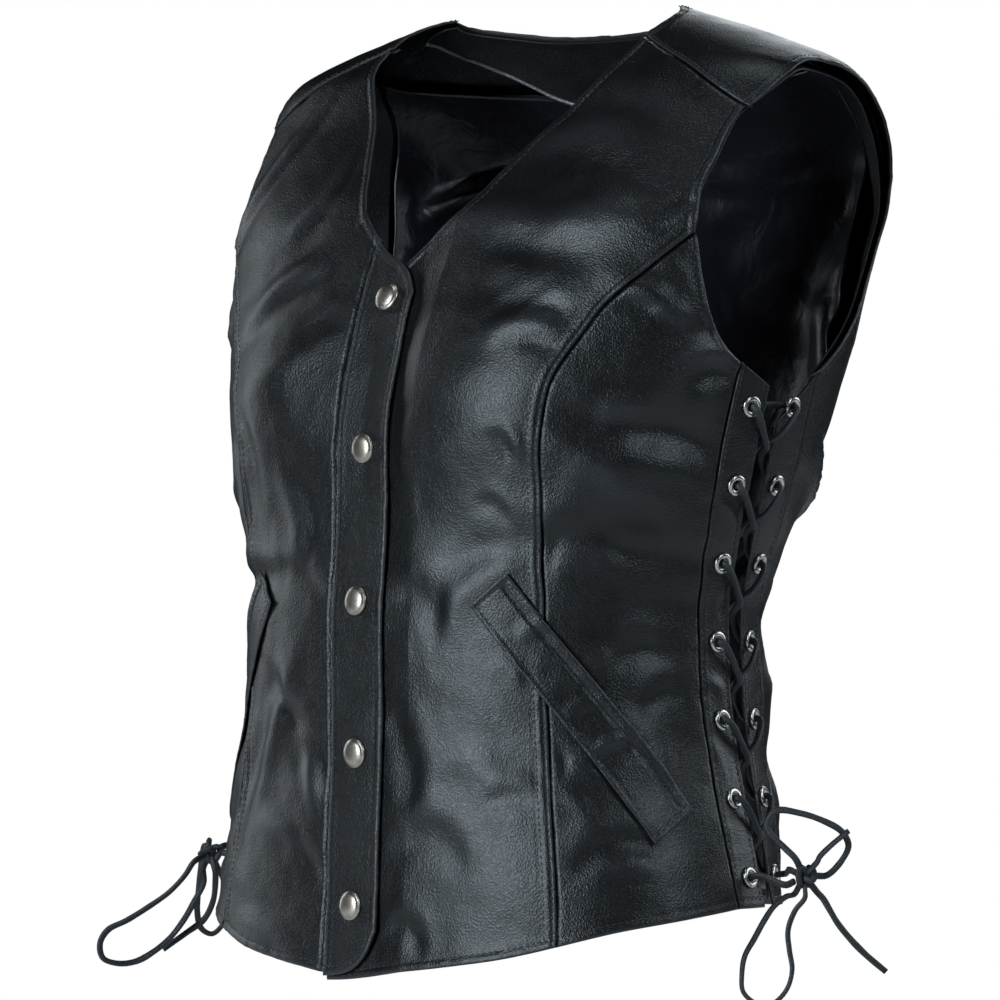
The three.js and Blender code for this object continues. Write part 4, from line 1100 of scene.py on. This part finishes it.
KNOT_SIZE = np.array([13, 12, 11])
BOWS = {
    "left": {
        "knot": [190, -22, -426],
        "lace": [[-0.32, -0.88, -0.35], [-0.96, 0.11, 0.25]],
        "free": [
            ["bow_loop_left_upper", [-0.14, -0.5, 0.86], [
                [183, -30, -411], [175, -34, -401], [178, -31, -393], [189, -24, -394],
                [199, -17, -398], [206, -12, -403], [208, -9, -410], [205, -10, -417],
            ], [0.55, 0.83, 0.05]],
            ["bow_loop_left_lower", [-0.58, -0.07, -0.81], [
                [183, -28, -436], [179, -33, -441], [177, -38, -448], [174, -42, -457],
                [171, -46, -466], [170, -47, -475], [170, -46, -484], [174, -40, -490],
                [179, -34, -490], [184, -29, -483], [186, -27, -473], [185, -28, -463],
                [185, -29, -453], [188, -27, -443],
            ], [0.21, -0.21, -0.95]],
            ["bow_tail_left_short", [0.71, 0.07, 0.7], [
                [199, -21, -416], [205, -19, -410], [212.6, -13.9, -402.4],
            ], None],
            ["bow_tail_left_long", [0.25, 0.61, -0.76], [
                [195, -14, -437], [199, -13, -443], [202, -11, -449], [207, -7, -457],
                [212, -1, -465], [219, 7, -474],
            ], None],
        ],
    },
    "right": {
        "knot": [-198, -71, -424],
        "lace": [[0.91, 0.41, -0.1], [0.18, 0.95, 0.25]],
        "free": [
            ["bow_loop_right_front", [-0.23, -0.84, -0.5], [
                [-205, -83, -437], [-211, -89, -446], [-219, -97, -454], [-227, -105, -461],
                [-234, -112, -466], [-237, -115, -473], [-236, -114, -481], [-231, -108, -484],
                [-225, -100, -483], [-219, -93, -478], [-214, -86, -471], [-209, -80, -461],
                [-206, -75, -451], [-203, -71, -441],
            ], [-0.53, 0.04, -0.85]],
            ["bow_loop_right_back", [-0.46, 0.74, -0.5], [
                [-203, -59, -436], [-207, -51, -445], [-210, -47, -456], [-214, -47, -465],
                [-218, -51, -470], [-221, -56, -467], [-219, -61, -457], [-216, -63, -447],
                [-213, -64, -435],
            ], [-0.87, 0.45, 0.2]],
            ["bow_tail_right", [0.32, 0.04, -0.95], [
                [-197, -68, -440], [-201, -66, -451], [-206, -68, -461], [-212, -75, -468],
                [-220, -85, -477],
            ], None],
        ],
    },
}


def knot_end(knot, direction):
    """A lace's last points, straight in to the heart of the knot."""
    way = np.array(direction) / np.linalg.norm(direction)
    knot = np.array(knot, float)
    skin = 0.5 / np.linalg.norm(way / KNOT_SIZE) + SEAM_GAP
    return [knot + way * (skin + 1.5 * LACE_DIAMETER), knot + way * skin, knot + way * skin * 0.35]


def make_knot(side, knot):
    t = np.linspace(0, 2 * np.pi, 121)
    loop = np.stack([np.sin(t) + 2 * np.sin(2 * t), np.cos(t) - 2 * np.cos(2 * t), -np.sin(3 * t)], 1)
    size = (KNOT_SIZE - LACE_DIAMETER * 0.9) / 2 / np.array([2.75, 3.0, 1.0])
    lean = 0.5 if side == "left" else -0.7
    turned = loop * size
    x = turned[:, 0] * math.cos(lean) - turned[:, 2] * math.sin(lean)
    z = turned[:, 0] * math.sin(lean) + turned[:, 2] * math.cos(lean)
    path = np.stack([x, turned[:, 1], z], 1) + np.array(knot, float)
    name = f"bow_knot_{side}"
    obj, _ = thong(name + "_wraps", path, 3.3, 2.8)
    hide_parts(name)
    return obj


def make_bows():
    knots = {}
    for side, bow in BOWS.items():
        knots[side] = make_knot(side, bow["knot"])
        for name, start, route, end in bow["free"]:
            points = knot_end(bow["knot"], start)[::-1] + [np.array(p, float) for p in route]
            if end:
                points += knot_end(bow["knot"], end)
            obj, path = thong(name + "_thong", smooth_route(points), 3.3, 2.4)
            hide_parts(name)
    return knots


# How far a lace stands off the leather between two eyelets. Columns: share, height.
LACE_OVER = [
    [0, 2.4], [0.06, 4.2], [0.328, 2.7], [0.5, 1.3], [0.58, -2.1], [0.672, -5.6], [0.94, -5.9],
    [1, -3.9],
]
LACE_UNDER = [[1 - share, -LEATHER - height] for share, height in LACE_OVER][::-1]


def seam_place(z, extra):
    z = np.atleast_1d(np.asarray(z, float))
    rows = np.array(LACE_SEAM, float)
    return np.interp(z, rows[:, 0], rows[:, 1]) + extra


def lace_point(z, along, offset):
    z, along = np.array([z], float), np.array([along], float)
    turn = turn_at(z, along)
    height = fold_height(turn, z) + offset
    return (smooth_point(turn, z) + outward(turn, z) * height[:, None])[0]


def make_laces(knots):
    rows = EYELET_TOP_Z - EYELET_PITCH * np.arange(EYELET_COUNT)
    front = [(z, float(seam_place(z, EYELET_INSET)[0])) for z in rows]
    back = [(z, float(seam_place(z, 2 * STRIP_WIDTH + STRIP_SPACE - EYELET_INSET)[0])) for z in rows]
    for side, sign in (("left", 1), ("right", -1)):
        bow = BOWS[side]

        def zigzag(first, second, over_first):
            route = []
            for k in range(EYELET_COUNT - 1):
                from_, to = (first, second) if k % 2 == 0 else (second, first)
                profile = LACE_OVER if (k % 2 == 0) == over_first else LACE_UNDER
                for share, height in profile:
                    z = from_[k][0] + (to[k + 1][0] - from_[k][0]) * share
                    along = from_[k][1] + (to[k + 1][1] - from_[k][1]) * share
                    route.append(lace_point(z, along * sign, height))
            return route

        def leave(spot, direction):
            out = [lace_point(spot[0], spot[1] * sign, h) for h in LACE_OUT]
            before, end, _ = knot_end(bow["knot"], direction)
            return [*out, (out[1] + before) / 2, before, end]

        down = [*zigzag(front, back, True), *leave(front[-1], bow["lace"][0])][::-1]
        bar = [lace_point(front[0][0], front[0][1] * sign, LACE_IN[0])]
        for share in (0.2, 0.5, 0.8):
            along = front[0][1] + (back[0][1] - front[0][1]) * share
            bar.append(lace_point(EYELET_TOP_Z, along * sign, LACE_IN[1]))
        bar.append(lace_point(back[0][0], back[0][1] * sign, LACE_IN[0]))
        rest = [*zigzag(back, front, False), *leave(back[-1], bow["lace"][1])]
        obj, path = thong(f"lace_{side}_thong", smooth_route(down + bar + rest, 6))
        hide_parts(f"lace_{side}")


make_laces(make_bows())

# Leather panels

SIDES = [("left", 1), ("right", -1)]
STEP = 3.2


def height_on_edge(rows, along):
    rows = np.array(rows, float)
    return float(np.interp(along, rows[:, 1], rows[:, 0]))


def edge_part(rows, start, end, count, shares):
    """The stretch of an edge between two distances from the centre front."""
    return seam([[height_on_edge(rows, a), a] for a in np.linspace(start, end, count)], shares)


def ribbon(bottom, top, long, short):
    """A patch between two edges, straight at both ends."""
    return patch(bottom, top, spaced([bottom[0], top[0]], short), spaced([bottom[-1], top[-1]], short),
                 long, short)


def upright(along, shares):
    bottom, top = height_on_edge(HEM_FRONT, along), height_on_edge(NECKLINE_LOW, along)
    return seam([[bottom + (top - bottom) * k / 6, along] for k in range(7)], shares)


def underlap_dip(turn, z):
    ramp = (along_at(z, turn) - PLACKET_HALF_WIDTH) / (UNDERLAP_RAMP - PLACKET_HALF_WIDTH)
    return -UNDERLAP_DIP * np.clip(1 - ramp, 0, 1)


FINE = np.linspace(0, 1, 90)


def make_front(side, sign, inner_along):
    tall = graded(370, STEP)
    low = graded(UNDERLAP_RAMP - inner_along, STEP, True, False)
    wide = graded(118, STEP)
    high = graded(95, STEP, False, True)
    inner = upright(UNDERLAP_RAMP, tall)
    first = patch(edge_part(HEM_FRONT, inner_along, UNDERLAP_RAMP, 5, low),
                  edge_part(NECKLINE_LOW, inner_along, UNDERLAP_RAMP, 7, low),
                  upright(inner_along, tall), inner, low, tall)
    princess = seam(PRINCESS_SEAM, tall)
    across = spaced([inner[-1], princess[-1]], wide)
    middle = patch(seam(HEM_MIDDLE, wide), across, inner, princess, wide, tall)
    tucked = over_places([[turn + YOKE_TUCK[0], z + YOKE_TUCK[1]] for turn, z in YOKE_SEAM[::-1]])
    neck_side = spaced(np.concatenate([seam_places(NECKLINE_HIGH), tucked[:1]]), high)
    arm_side = spaced(np.concatenate([seam_places(ARMHOLE_FRONT_HIGH), tucked[-1:]]), high)
    upper = patch(across, spaced(tucked, wide), neck_side, arm_side, wide, high)
    panel = Panel(f"front_{side}_leather", [first, middle, upper], underlap_dip if sign > 0 else 0.0,
                  seed=3 + sign, sign=sign)
    neck = [row for row in NECKLINE_LOW if row[1] > inner_along]
    neck = [[height_on_edge(NECKLINE_LOW, inner_along), inner_along]] + neck
    hem = [[height_on_edge(HEM_FRONT, inner_along), inner_along]]
    hem += [row for row in HEM_FRONT if row[1] > inner_along] + HEM_MIDDLE[1:]
    panel.line("edge", seam(neck + NECKLINE_HIGH[1:], FINE))
    panel.line("edge", seam(hem, FINE))
    panel.line("edge", seam(ARMHOLE_FRONT_HIGH, FINE))
    panel.line("lap", seam(PRINCESS_SEAM, FINE))
    panel.line("under", spaced(tucked, FINE))
    if sign < 0:
        panel.line("under", upright(inner_along, FINE))
    return panel


def lace_line(extra, low, high, shares):
    heights = np.linspace(low, high, 13)
    return spaced(seam_places(np.stack([heights, seam_place(heights, extra)], 1)), shares)


def make_side(side, sign):
    tall = graded(330, STEP)
    wide = graded(92, STEP)
    princess = beside(seam(PRINCESS_SEAM, tall), -TUCK)
    lace = lace_line(TUCK, HEM_SIDE_Z, STRIP_TOP_Z, tall)
    bottom, top = seam(HEM_SIDE, wide), seam(ARMHOLE_FRONT_LOW, wide)
    bottom[0], bottom[-1] = princess[0], lace[0]
    top[0], top[-1] = princess[-1], lace[-1]
    grid = patch(bottom, top, princess, lace, wide, tall)
    panel = Panel(f"front_{side}_side_leather", [grid], seed=8 + sign, rough=1.15, sign=sign)
    panel.line("under", beside(seam(PRINCESS_SEAM, FINE), -TUCK))
    panel.line("edge", seam(HEM_SIDE, FINE))
    panel.line("edge", seam(ARMHOLE_FRONT_LOW, FINE))
    panel.line("under", lace_line(TUCK, HEM_SIDE_Z, STRIP_TOP_Z, FINE))
    return panel


def snap_places():
    heights = SNAP_TOP_Z - SNAP_PITCH * np.arange(SNAP_COUNT)
    return np.zeros(SNAP_COUNT), heights


def make_placket():
    tall = graded(350, STEP)
    wide = graded(2 * PLACKET_HALF_WIDTH, 2.6)

    def side(bottom, top, along):
        return seam([[bottom + (top - bottom) * k / 6, along] for k in range(7)], tall)

    start = side(PLACKET_BOTTOM[0][0], PLACKET_TOP[0][0], -PLACKET_HALF_WIDTH)
    end = side(PLACKET_BOTTOM[-1][0], PLACKET_TOP[-1][0], PLACKET_HALF_WIDTH)
    bottom, top = seam(PLACKET_BOTTOM, wide), seam(PLACKET_TOP, wide)
    panel = Panel("placket_leather", [patch(bottom, top, start, end, wide, tall)],
                  PLACKET_RISE, PLACKET_THICKNESS, seed=21, rough=0.8)
    panel.line("lap_single", start)
    around = [seam(PLACKET_BOTTOM, FINE), end[1:-1], seam(PLACKET_TOP, FINE)[::-1]]
    panel.line("edge", np.concatenate(around))
    turn, z = snap_places()
    panel.dents = [(centre, *SNAP_DENT) for centre in smooth_point(turn, z)]
    return panel


def back_hem(start_edge, shares):
    start = start_edge[0] / TURN_SCALE
    stops = np.array([0, 0.25, 0.5, 0.75, 1])
    rows = np.stack([start + (180 - start) * stops,
                     HEM_SIDE_Z - BACK_HEM_DROP * np.sin(stops * np.pi / 2)], 1)
    return over_edge(rows, shares)


def half_back(side):
    """The patches of one half of the back, and its edges by kind."""
    strap_columns, neck_columns = graded(70, 3.6), graded(125, 3.6, False, False)
    both = np.concatenate([strap_columns * 5, 5 + neck_columns[1:] * 4]) / 9
    tall = graded(275, 3.6, True, False)
    arm_rows = graded(165, 3.6, False, False)
    middle = 180 * TURN_SCALE
    laced = lace_line(BACK_EDGE - TUCK, HEM_SIDE_Z, ARM_BOTTOM_Z, tall)
    level = spaced([laced[-1], [middle, ARM_BOTTOM_Z]], both)
    lower = patch(back_hem(laced[0], both), level, laced,
                  spaced([[middle, HEM_SIDE_Z - BACK_HEM_DROP], [middle, ARM_BOTTOM_Z]], tall),
                  both, tall)
    arm_places = np.concatenate([laced[-1:], over_places(ARMHOLE_BACK[side][1:])])
    arm = spaced(arm_places, arm_rows)
    strap_line = spaced([arm[-1], over_places(NECK_OVER_STRAP[:1])[0]], strap_columns)
    neck = spaced_on_form(BACK_NECK, neck_columns)
    upper = patch(level, np.concatenate([strap_line, neck[1:]]), arm,
                  spaced([[middle, ARM_BOTTOM_Z], [middle, BACK_NECK[-1][1]]], arm_rows),
                  both, arm_rows)
    strap_rows = graded(120, 3.2, False, True)
    shifted = [[turn + YOKE_LAP[0], z + YOKE_LAP[1]] for turn, z in YOKE_SEAM]
    yoke = over_edge(shifted, strap_columns)
    over_arm = over_edge(ARM_OVER_STRAP[side], strap_rows)
    over_neck = over_edge(NECK_OVER_STRAP, strap_rows)
    over_arm[-1], over_neck[-1] = yoke[0], yoke[-1]
    strap = patch(strap_line, yoke, over_arm, over_neck, strap_columns, strap_rows)
    arm_edge = np.concatenate([spaced(arm_places, FINE), over_edge(ARM_OVER_STRAP[side], FINE)[1:]])
    neck_line = np.concatenate([over_edge(NECK_OVER_STRAP[::-1], FINE),
                                spaced_on_form(BACK_NECK, FINE)[1:]])
    edges = [("edge", arm_edge), ("edge", neck_line), ("edge", back_hem(laced[0], FINE)),
             ("lap_single", over_edge(shifted, FINE)),
             ("under", lace_line(BACK_EDGE - TUCK, HEM_SIDE_Z, ARM_BOTTOM_Z, FINE))]
    return [lower, upper, strap], edges


def make_back():
    left, left_edges = half_back("left")
    right, right_edges = half_back("right")
    panel = Panel("back_leather", left + [wrapped(flipped(grid)) for grid in right], seed=31)
    for kind, edge in left_edges:
        panel.line(kind, edge)
    for kind, edge in right_edges:
        panel.line(kind, wrapped(flipped_edge(edge)))
    return panel


FRONT_STRIP_TOP = (-167, -179)
BACK_STRIP_TOP = (-197, -173)
STRIPS = [
    ("front", SEAM_GAP, STRIP_WIDTH, FRONT_STRIP_TOP, EYELET_INSET),
    ("back", STRIP_WIDTH + STRIP_SPACE, BACK_EDGE - SEAM_GAP, BACK_STRIP_TOP,
     2 * STRIP_WIDTH + STRIP_SPACE - EYELET_INSET),
]


def eyelet_places(extra, sign):
    z = EYELET_TOP_Z - EYELET_PITCH * np.arange(EYELET_COUNT, dtype=float)
    return turn_at(z, seam_place(z, extra) * sign), z


def make_strip(side, sign, name, from_, to, top, eyelet):
    tall = graded(270, 1.7)
    wide = graded(to - from_, 1.3)
    start = lace_line(from_, HEM_SIDE_Z, top[0], tall)
    end = lace_line(to, HEM_SIDE_Z, top[1], tall)
    grid = patch(spaced([start[0], end[0]], wide), spaced([start[-1], end[-1]], wide),
                 start, end, wide, tall)
    panel = Panel(f"lace_strip_{name}_{side}_leather", [grid], seed=41 + sign, rough=0.55,
                  sign=sign)
    seam_edge, free_edge = (start, end) if name == "front" else (end, start)
    panel.line("lap_single", seam_edge)
    panel.line("narrow", free_edge)
    panel.line("edge", spaced([start[0], end[0]], FINE))
    turn, z = eyelet_places(eyelet, sign)
    centres = smooth_point(turn, z)
    panel.holes = [(centre, EYELET_CUT) for centre in centres]
    panel.dents = [(centre, *EYELET_DENT) for centre in centres]
    panel.eyelets = (turn, z)
    return panel


def welt_edges(shares):
    start, end = np.array(WELT_START), np.array(WELT_END)
    slant = math.atan2(end[0] - start[0], end[1] - start[1])
    aside = np.array([math.cos(slant), -math.sin(slant)]) * WELT_WIDTH / 2
    k = np.linspace(0, 1, 7)[:, None]
    rows = start + (end - start) * k
    return spaced(seam_places(rows - aside), shares), spaced(seam_places(rows + aside), shares)


def make_welt(side, sign):
    long, short = graded(155, 2.2), graded(WELT_WIDTH, 1.8)
    low, high = welt_edges(long)
    panel = Panel(f"welt_{side}_leather", [ribbon(low, high, long, short)], WELT_RISE,
                  WELT_THICKNESS, seed=51 + sign, rough=0.9, sign=sign)
    low, high = welt_edges(FINE)
    panel.line("narrow", low)
    panel.line("narrow", high)
    panel.line("narrow", spaced([low[0], high[0]], FINE[::3]))
    panel.line("narrow", spaced([low[-1], high[-1]], FINE[::3]))
    inner = FINE[3:-3]
    share = 1 - WELT_SLOT / WELT_WIDTH
    slot = low * (1 - share) + high * share
    panel.line("slot", spaced(slot, inner))
    return panel


def armhole_facing_rise(turn, z):
    aside = (np.abs(np.where(turn > 180, 360 - turn, turn)) - 118) / 34
    t = np.clip((z + 100) / 50, 0, 1)
    near = t * t * (3 - 2 * t)
    return -FACING_DEPTH - 4.4 * near * np.exp(-aside ** 2)


def armhole_edge(side, shares):
    return spaced(np.concatenate([
        over_places(ARMHOLE_BACK[side]), over_places(ARM_OVER_STRAP[side][1:-1]),
        seam_places(ARMHOLE_FRONT_HIGH)[::-1], seam_places(ARMHOLE_FRONT_LOW)[1:],
    ]), shares)


def make_armhole_facing(side, sign):
    shares = graded(470, 4.0, False, False)
    wide = graded(ARMHOLE_FACING_WIDTH, 2.4)
    edge = armhole_edge(side, shares)
    inner = inset(edge, ARMHOLE_FACING_WIDTH)
    grid = ribbon(inner, edge, shares, wide)
    panel = Panel(f"armhole_facing_{side}_leather", [grid], armhole_facing_rise, FACING,
                  seed=61 + sign, rough=0.6, crease=0.4, sign=sign)
    panel.line("plain", edge)
    panel.line("plain", inner)
    return panel


def neck_edge(shares):
    return spaced_on_form(NECK_OVER_STRAP[:4][::-1] + BACK_NECK[1:], shares)


def neck_facing_hem(extra, shares):
    stops = np.linspace(0, 1, 10)
    shoulder, back = NECK_FACING_WIDTH["shoulder"], NECK_FACING_WIDTH["back"]
    width = shoulder + (back - shoulder) * np.minimum(1, stops / 0.77)
    hem = inset(neck_edge(stops), width + extra)
    hem[-1, 0] = 180 * TURN_SCALE
    return catmull_rom(hem, np.asarray(shares, float))


def lip(turn, z):
    """The neck facing stands off the lining along its hem, unevenly."""
    points = smooth_point(turn, z)
    line = on_form(neck_facing_hem(0, np.linspace(0, 1, 40)))
    both = np.concatenate([line, line[::-1] * np.array([-1, 1, 1])])
    distance, where = nearest(points, both)
    return -(1.6 + 0.9 * np.sin(where / 23)) * np.exp(-(distance / 7) ** 2)


def make_neck_facing():
    long, wide = graded(150, 3.0, True, False), graded(52, 3.0)
    top, bottom = neck_edge(long), neck_facing_hem(0, long)
    half = ribbon(bottom, top, long, wide)
    panel = Panel("neck_facing_leather", [half, wrapped(flipped(half))], -FACING_DEPTH, FACING,
                  seed=71, rough=0.7, crease=0.3)
    for edge in (top, bottom):
        panel.line("plain", edge)
        panel.line("plain", wrapped(flipped_edge(edge)))
    panel.extra = lip
    return panel


def make_piping(facing):
    """A thin rolled edge along the neck facing's hem, coloured mid-grey as a painted highlight line."""
    hem = neck_facing_hem(0, np.linspace(0, 1, 40))
    both = np.concatenate([hem, wrapped(flipped_edge(hem))[::-1][1:]])
    path = facing.surface(both[:, 0] / TURN_SCALE, both[:, 1], -0.9)
    piping, _ = thong("neck_piping_painted_highlight", path, 2.0, 2.0, 8, PIPING_PAINTED_HIGHLIGHT_SKIN)
    return piping


def satin_relief(turn, z):
    turn = np.where(turn > 180, turn - 360, turn)
    height = sum(-ridge(turn * 1.5, z, [z0, t0 * 1.5, z1, t1 * 1.5, width, rise])
                 for t0, z0, t1, z1, width, rise in SATIN_FOLDS)
    points = smooth_point(turn, z)
    soft = np.clip((-26 - z) / 40, 0, 1) * np.clip((z + 440) / 20, 0, 1)
    return np.minimum(height + 1.6 * noise(points, 42, 91) + 0.8 * noise(points, 17, 92), 1.5) * soft


def half_lining(side):
    both = np.linspace(0, 1, 80)
    tall, high = np.linspace(0, 1, 80), np.linspace(0, 1, 56)
    middle = 180 * TURN_SCALE
    covered = ARMHOLE_FACING_WIDTH + LINING_TUCK["armhole"]
    arm_inner = inset(armhole_edge(side, np.linspace(0, 1, 27)), covered)
    laced = lace_line(BACK_EDGE + LINING_TUCK["side"], HEM_SIDE_Z + LINING_TUCK["hem"],
                      ARM_BOTTOM_Z - ARMHOLE_FACING_WIDTH, tall)
    level = spaced([laced[-1], [middle, laced[-1, 1]]], both)
    hem = back_hem(laced[0], both)
    hem = hem + np.array([0, LINING_TUCK["hem"]]) * np.minimum(1, both * 30)[:, None]
    hem[0] = laced[0]
    lower = patch(hem, level, laced,
                  spaced([[middle, HEM_SIDE_Z - BACK_HEM_DROP + LINING_TUCK["hem"]], level[-1]], tall),
                  both, tall)
    keep = (arm_inner[:, 1] > arm_inner[0, 1] + 4) & (arm_inner[:, 0] / TURN_SCALE > 100)
    facing_hem = neck_facing_hem(1, np.linspace(0, 1, 10))[-5:]
    arm = spaced(np.concatenate([laced[-1:], arm_inner[keep]]), high)
    corner = spaced([arm[-1], facing_hem[0]], np.linspace(0, 1, 7))
    top = spaced(np.concatenate([corner[:-1], facing_hem]), both)
    upper = patch(level, top, arm, spaced([level[-1], facing_hem[-1]], high), both, high)
    return [lower, upper]


def make_lining():
    grids = half_lining("left") + [wrapped(flipped(grid)) for grid in half_lining("right")]
    panel = Panel("lining_satin_sheet", grids, -LINING_DEPTH, LINING, seed=81, rough=0.5, crease=0.3)
    panel.extra = satin_relief
    return panel


# Hardware


def lathe(profile, centre, axis, segments):
    """A turned shape about an axis: rows of radius and height."""
    axis = axis / np.linalg.norm(axis)
    side = np.cross(axis, [0.1, 0.3, 1.0])
    side /= np.linalg.norm(side)
    other = np.cross(axis, side)
    angle = np.linspace(0, 2 * np.pi, segments, endpoint=False)
    circle = np.cos(angle)[:, None] * side + np.sin(angle)[:, None] * other
    rings = [centre + axis * height + circle * radius for radius, height in profile]
    return np.concatenate(rings), tube_faces(len(profile), segments)


def lathe_set(name, profile, panel, turn, z, lift, segments, material, nodes):
    vertices, faces = [], []
    centre = panel.surface(turn, z, lift)
    east, west = panel.surface(turn + 2, z), panel.surface(turn - 2, z)
    up, down = panel.surface(turn, z + 4), panel.surface(turn, z - 4)
    axes = np.cross(east - west, up - down)
    for k in range(len(z)):
        points, sides = lathe(profile, centre[k], axes[k], segments)
        first = sum(len(v) for v in vertices)
        vertices.append(points)
        faces += [tuple(i + first for i in face) for face in sides]
    obj = make_mesh(name, np.concatenate(vertices), faces, material)
    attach(obj, "root")
    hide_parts(*nodes)
    return obj


def dome_profile():
    rows = [(7.0, -0.7), (7.45, -0.4), (7.6, 0.2), (7.5, 0.75), (7.15, 1.1), (6.75, 1.2)]
    for k in range(1, 9):
        angle = math.pi / 2 * k / 8
        rows.append((6.6 * math.cos(angle), 1.25 + 1.75 * math.sin(angle)))
    return [(max(radius, 0.02), height) for radius, height in rows]


def ring_profile():
    rows = [(EYELET_HOLE, -1.7), (EYELET_HOLE, 0.5)]
    middle, half = (EYELET_HOLE + EYELET_FLANGE) / 2, (EYELET_FLANGE - EYELET_HOLE) / 2
    for k in range(11):
        angle = math.pi * (1 - k / 10)
        rows.append((middle + half * math.cos(angle), 0.45 + 1.15 * math.sin(angle) ** 0.8))
    return rows + [(EYELET_FLANGE - 0.15, -0.1), (EYELET_BARREL, -0.1), (EYELET_BARREL, -1.7),
                   (EYELET_HOLE, -1.7)]


def finish_piece(panel, material, slot_name, nodes, trim=None):
    obj = panel.build(material, slot_name)
    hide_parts(*nodes)
    stitches = panel.sew(THREAD)


def dress():
    for side, sign in SIDES:
        inner = -PLACKET_HALF_WIDTH if sign > 0 else PLACKET_HALF_WIDTH + SEAM_GAP
        finish_piece(make_front(side, sign, inner), LEATHER_SKIN, "leather",
                     [f"front_{side}_panel"])
        finish_piece(make_side(side, sign), LEATHER_SKIN, "leather",
                     [f"front_{side}_side_panel"])
        finish_piece(make_welt(side, sign), LEATHER_SKIN, "leather", [f"welt_{side}"])
        finish_piece(make_armhole_facing(side, sign), FACING_SKIN, "facing_leather",
                     [f"armhole_facing_{side}"])
        for name, from_, to, top, eyelet in STRIPS:
            strip = make_strip(side, sign, name, from_, to, top, eyelet)
            finish_piece(strip, LEATHER_SKIN, "leather", [f"lace_strip_{name}_{side}"])
            turn, z = strip.eyelets
            lathe_set(f"eyelets_{name}_{side}", ring_profile(), strip, turn, z, 0.25, 32, EYELET_METAL,
                      [f"eyelet_{name}_{side}_{k + 1}" for k in range(EYELET_COUNT)])
    placket = make_placket()
    finish_piece(placket, PLACKET_SKIN, "leather", ["placket"])
    turn, z = snap_places()
    lathe_set("snap_caps", dome_profile(), placket, turn, z, 0.75, 40, SNAP_METAL,
              [f"snap_cap_{k + 1}" for k in range(SNAP_COUNT)])
    finish_piece(make_back(), LEATHER_SKIN, "leather", ["back"])
    facing = make_neck_facing()
    finish_piece(facing, FACING_SKIN, "facing_leather", ["neck_facing"],
                 make_piping(facing))
    finish_piece(make_lining(), SATIN, "lining_satin", ["lining_back"])


dress()

# Floor, light and surround


def make_floor():
    radius, z = 1.35, -0.60
    angle = np.linspace(0, 2 * np.pi, 96, endpoint=False)
    rim = np.stack([np.cos(angle) * radius, np.sin(angle) * radius, np.full(96, z)], 1)
    skin = pale("pale_floor", (0.85, 0.85, 0.86))
    floor = make_mesh("floor", rim / MM, [tuple(range(96))], skin, False)


def area_light(name, azimuth, elevation, distance, size, power, colour=(1, 1, 1)):
    data = bpy.data.lights.new(name, "AREA")
    data.shape = "RECTANGLE"
    data.size, data.size_y = size
    data.energy = power
    data.color = colour
    light = bpy.data.objects.new(name, data)
    scene.collection.objects.link(light)
    a, e = math.radians(azimuth), math.radians(elevation)
    away = Vector((math.sin(a) * math.cos(e), -math.cos(a) * math.cos(e), math.sin(e)))
    light.location = AIM + away * distance
    light.rotation_mode = "QUATERNION"
    light.rotation_quaternion = (-away).to_track_quat("-Z", "Y")


def make_light():
    world = bpy.data.worlds.new("surround")
    world.use_nodes = True
    background = world.node_tree.nodes["Background"]
    background.inputs["Color"].default_value = (1, 1, 1, 1)
    background.inputs["Strength"].default_value = 1.0
    world.cycles_visibility.diffuse = False
    world.cycles_visibility.glossy = False
    scene.world = world
    cool = (0.88, 0.95, 1.0)
    area_light("key", -5, 10, 2.6, (0.8, 1.6), 50, cool)
    area_light("side", 84, 26, 2.6, (0.6, 1.2), 16, cool)
    area_light("right", -86, 10, 2.6, (0.5, 1.6), 9, cool)
    area_light("behind", 150, 20, 2.6, (1.2, 1.6), 18, cool)
    area_light("behind_right", -150, 20, 2.6, (1.2, 1.6), 16, cool)
    area_light("top", 40, 80, 2.4, (1.0, 1.0), 8, cool)


make_floor()
make_light()
scene.view_settings.view_transform = "Standard"
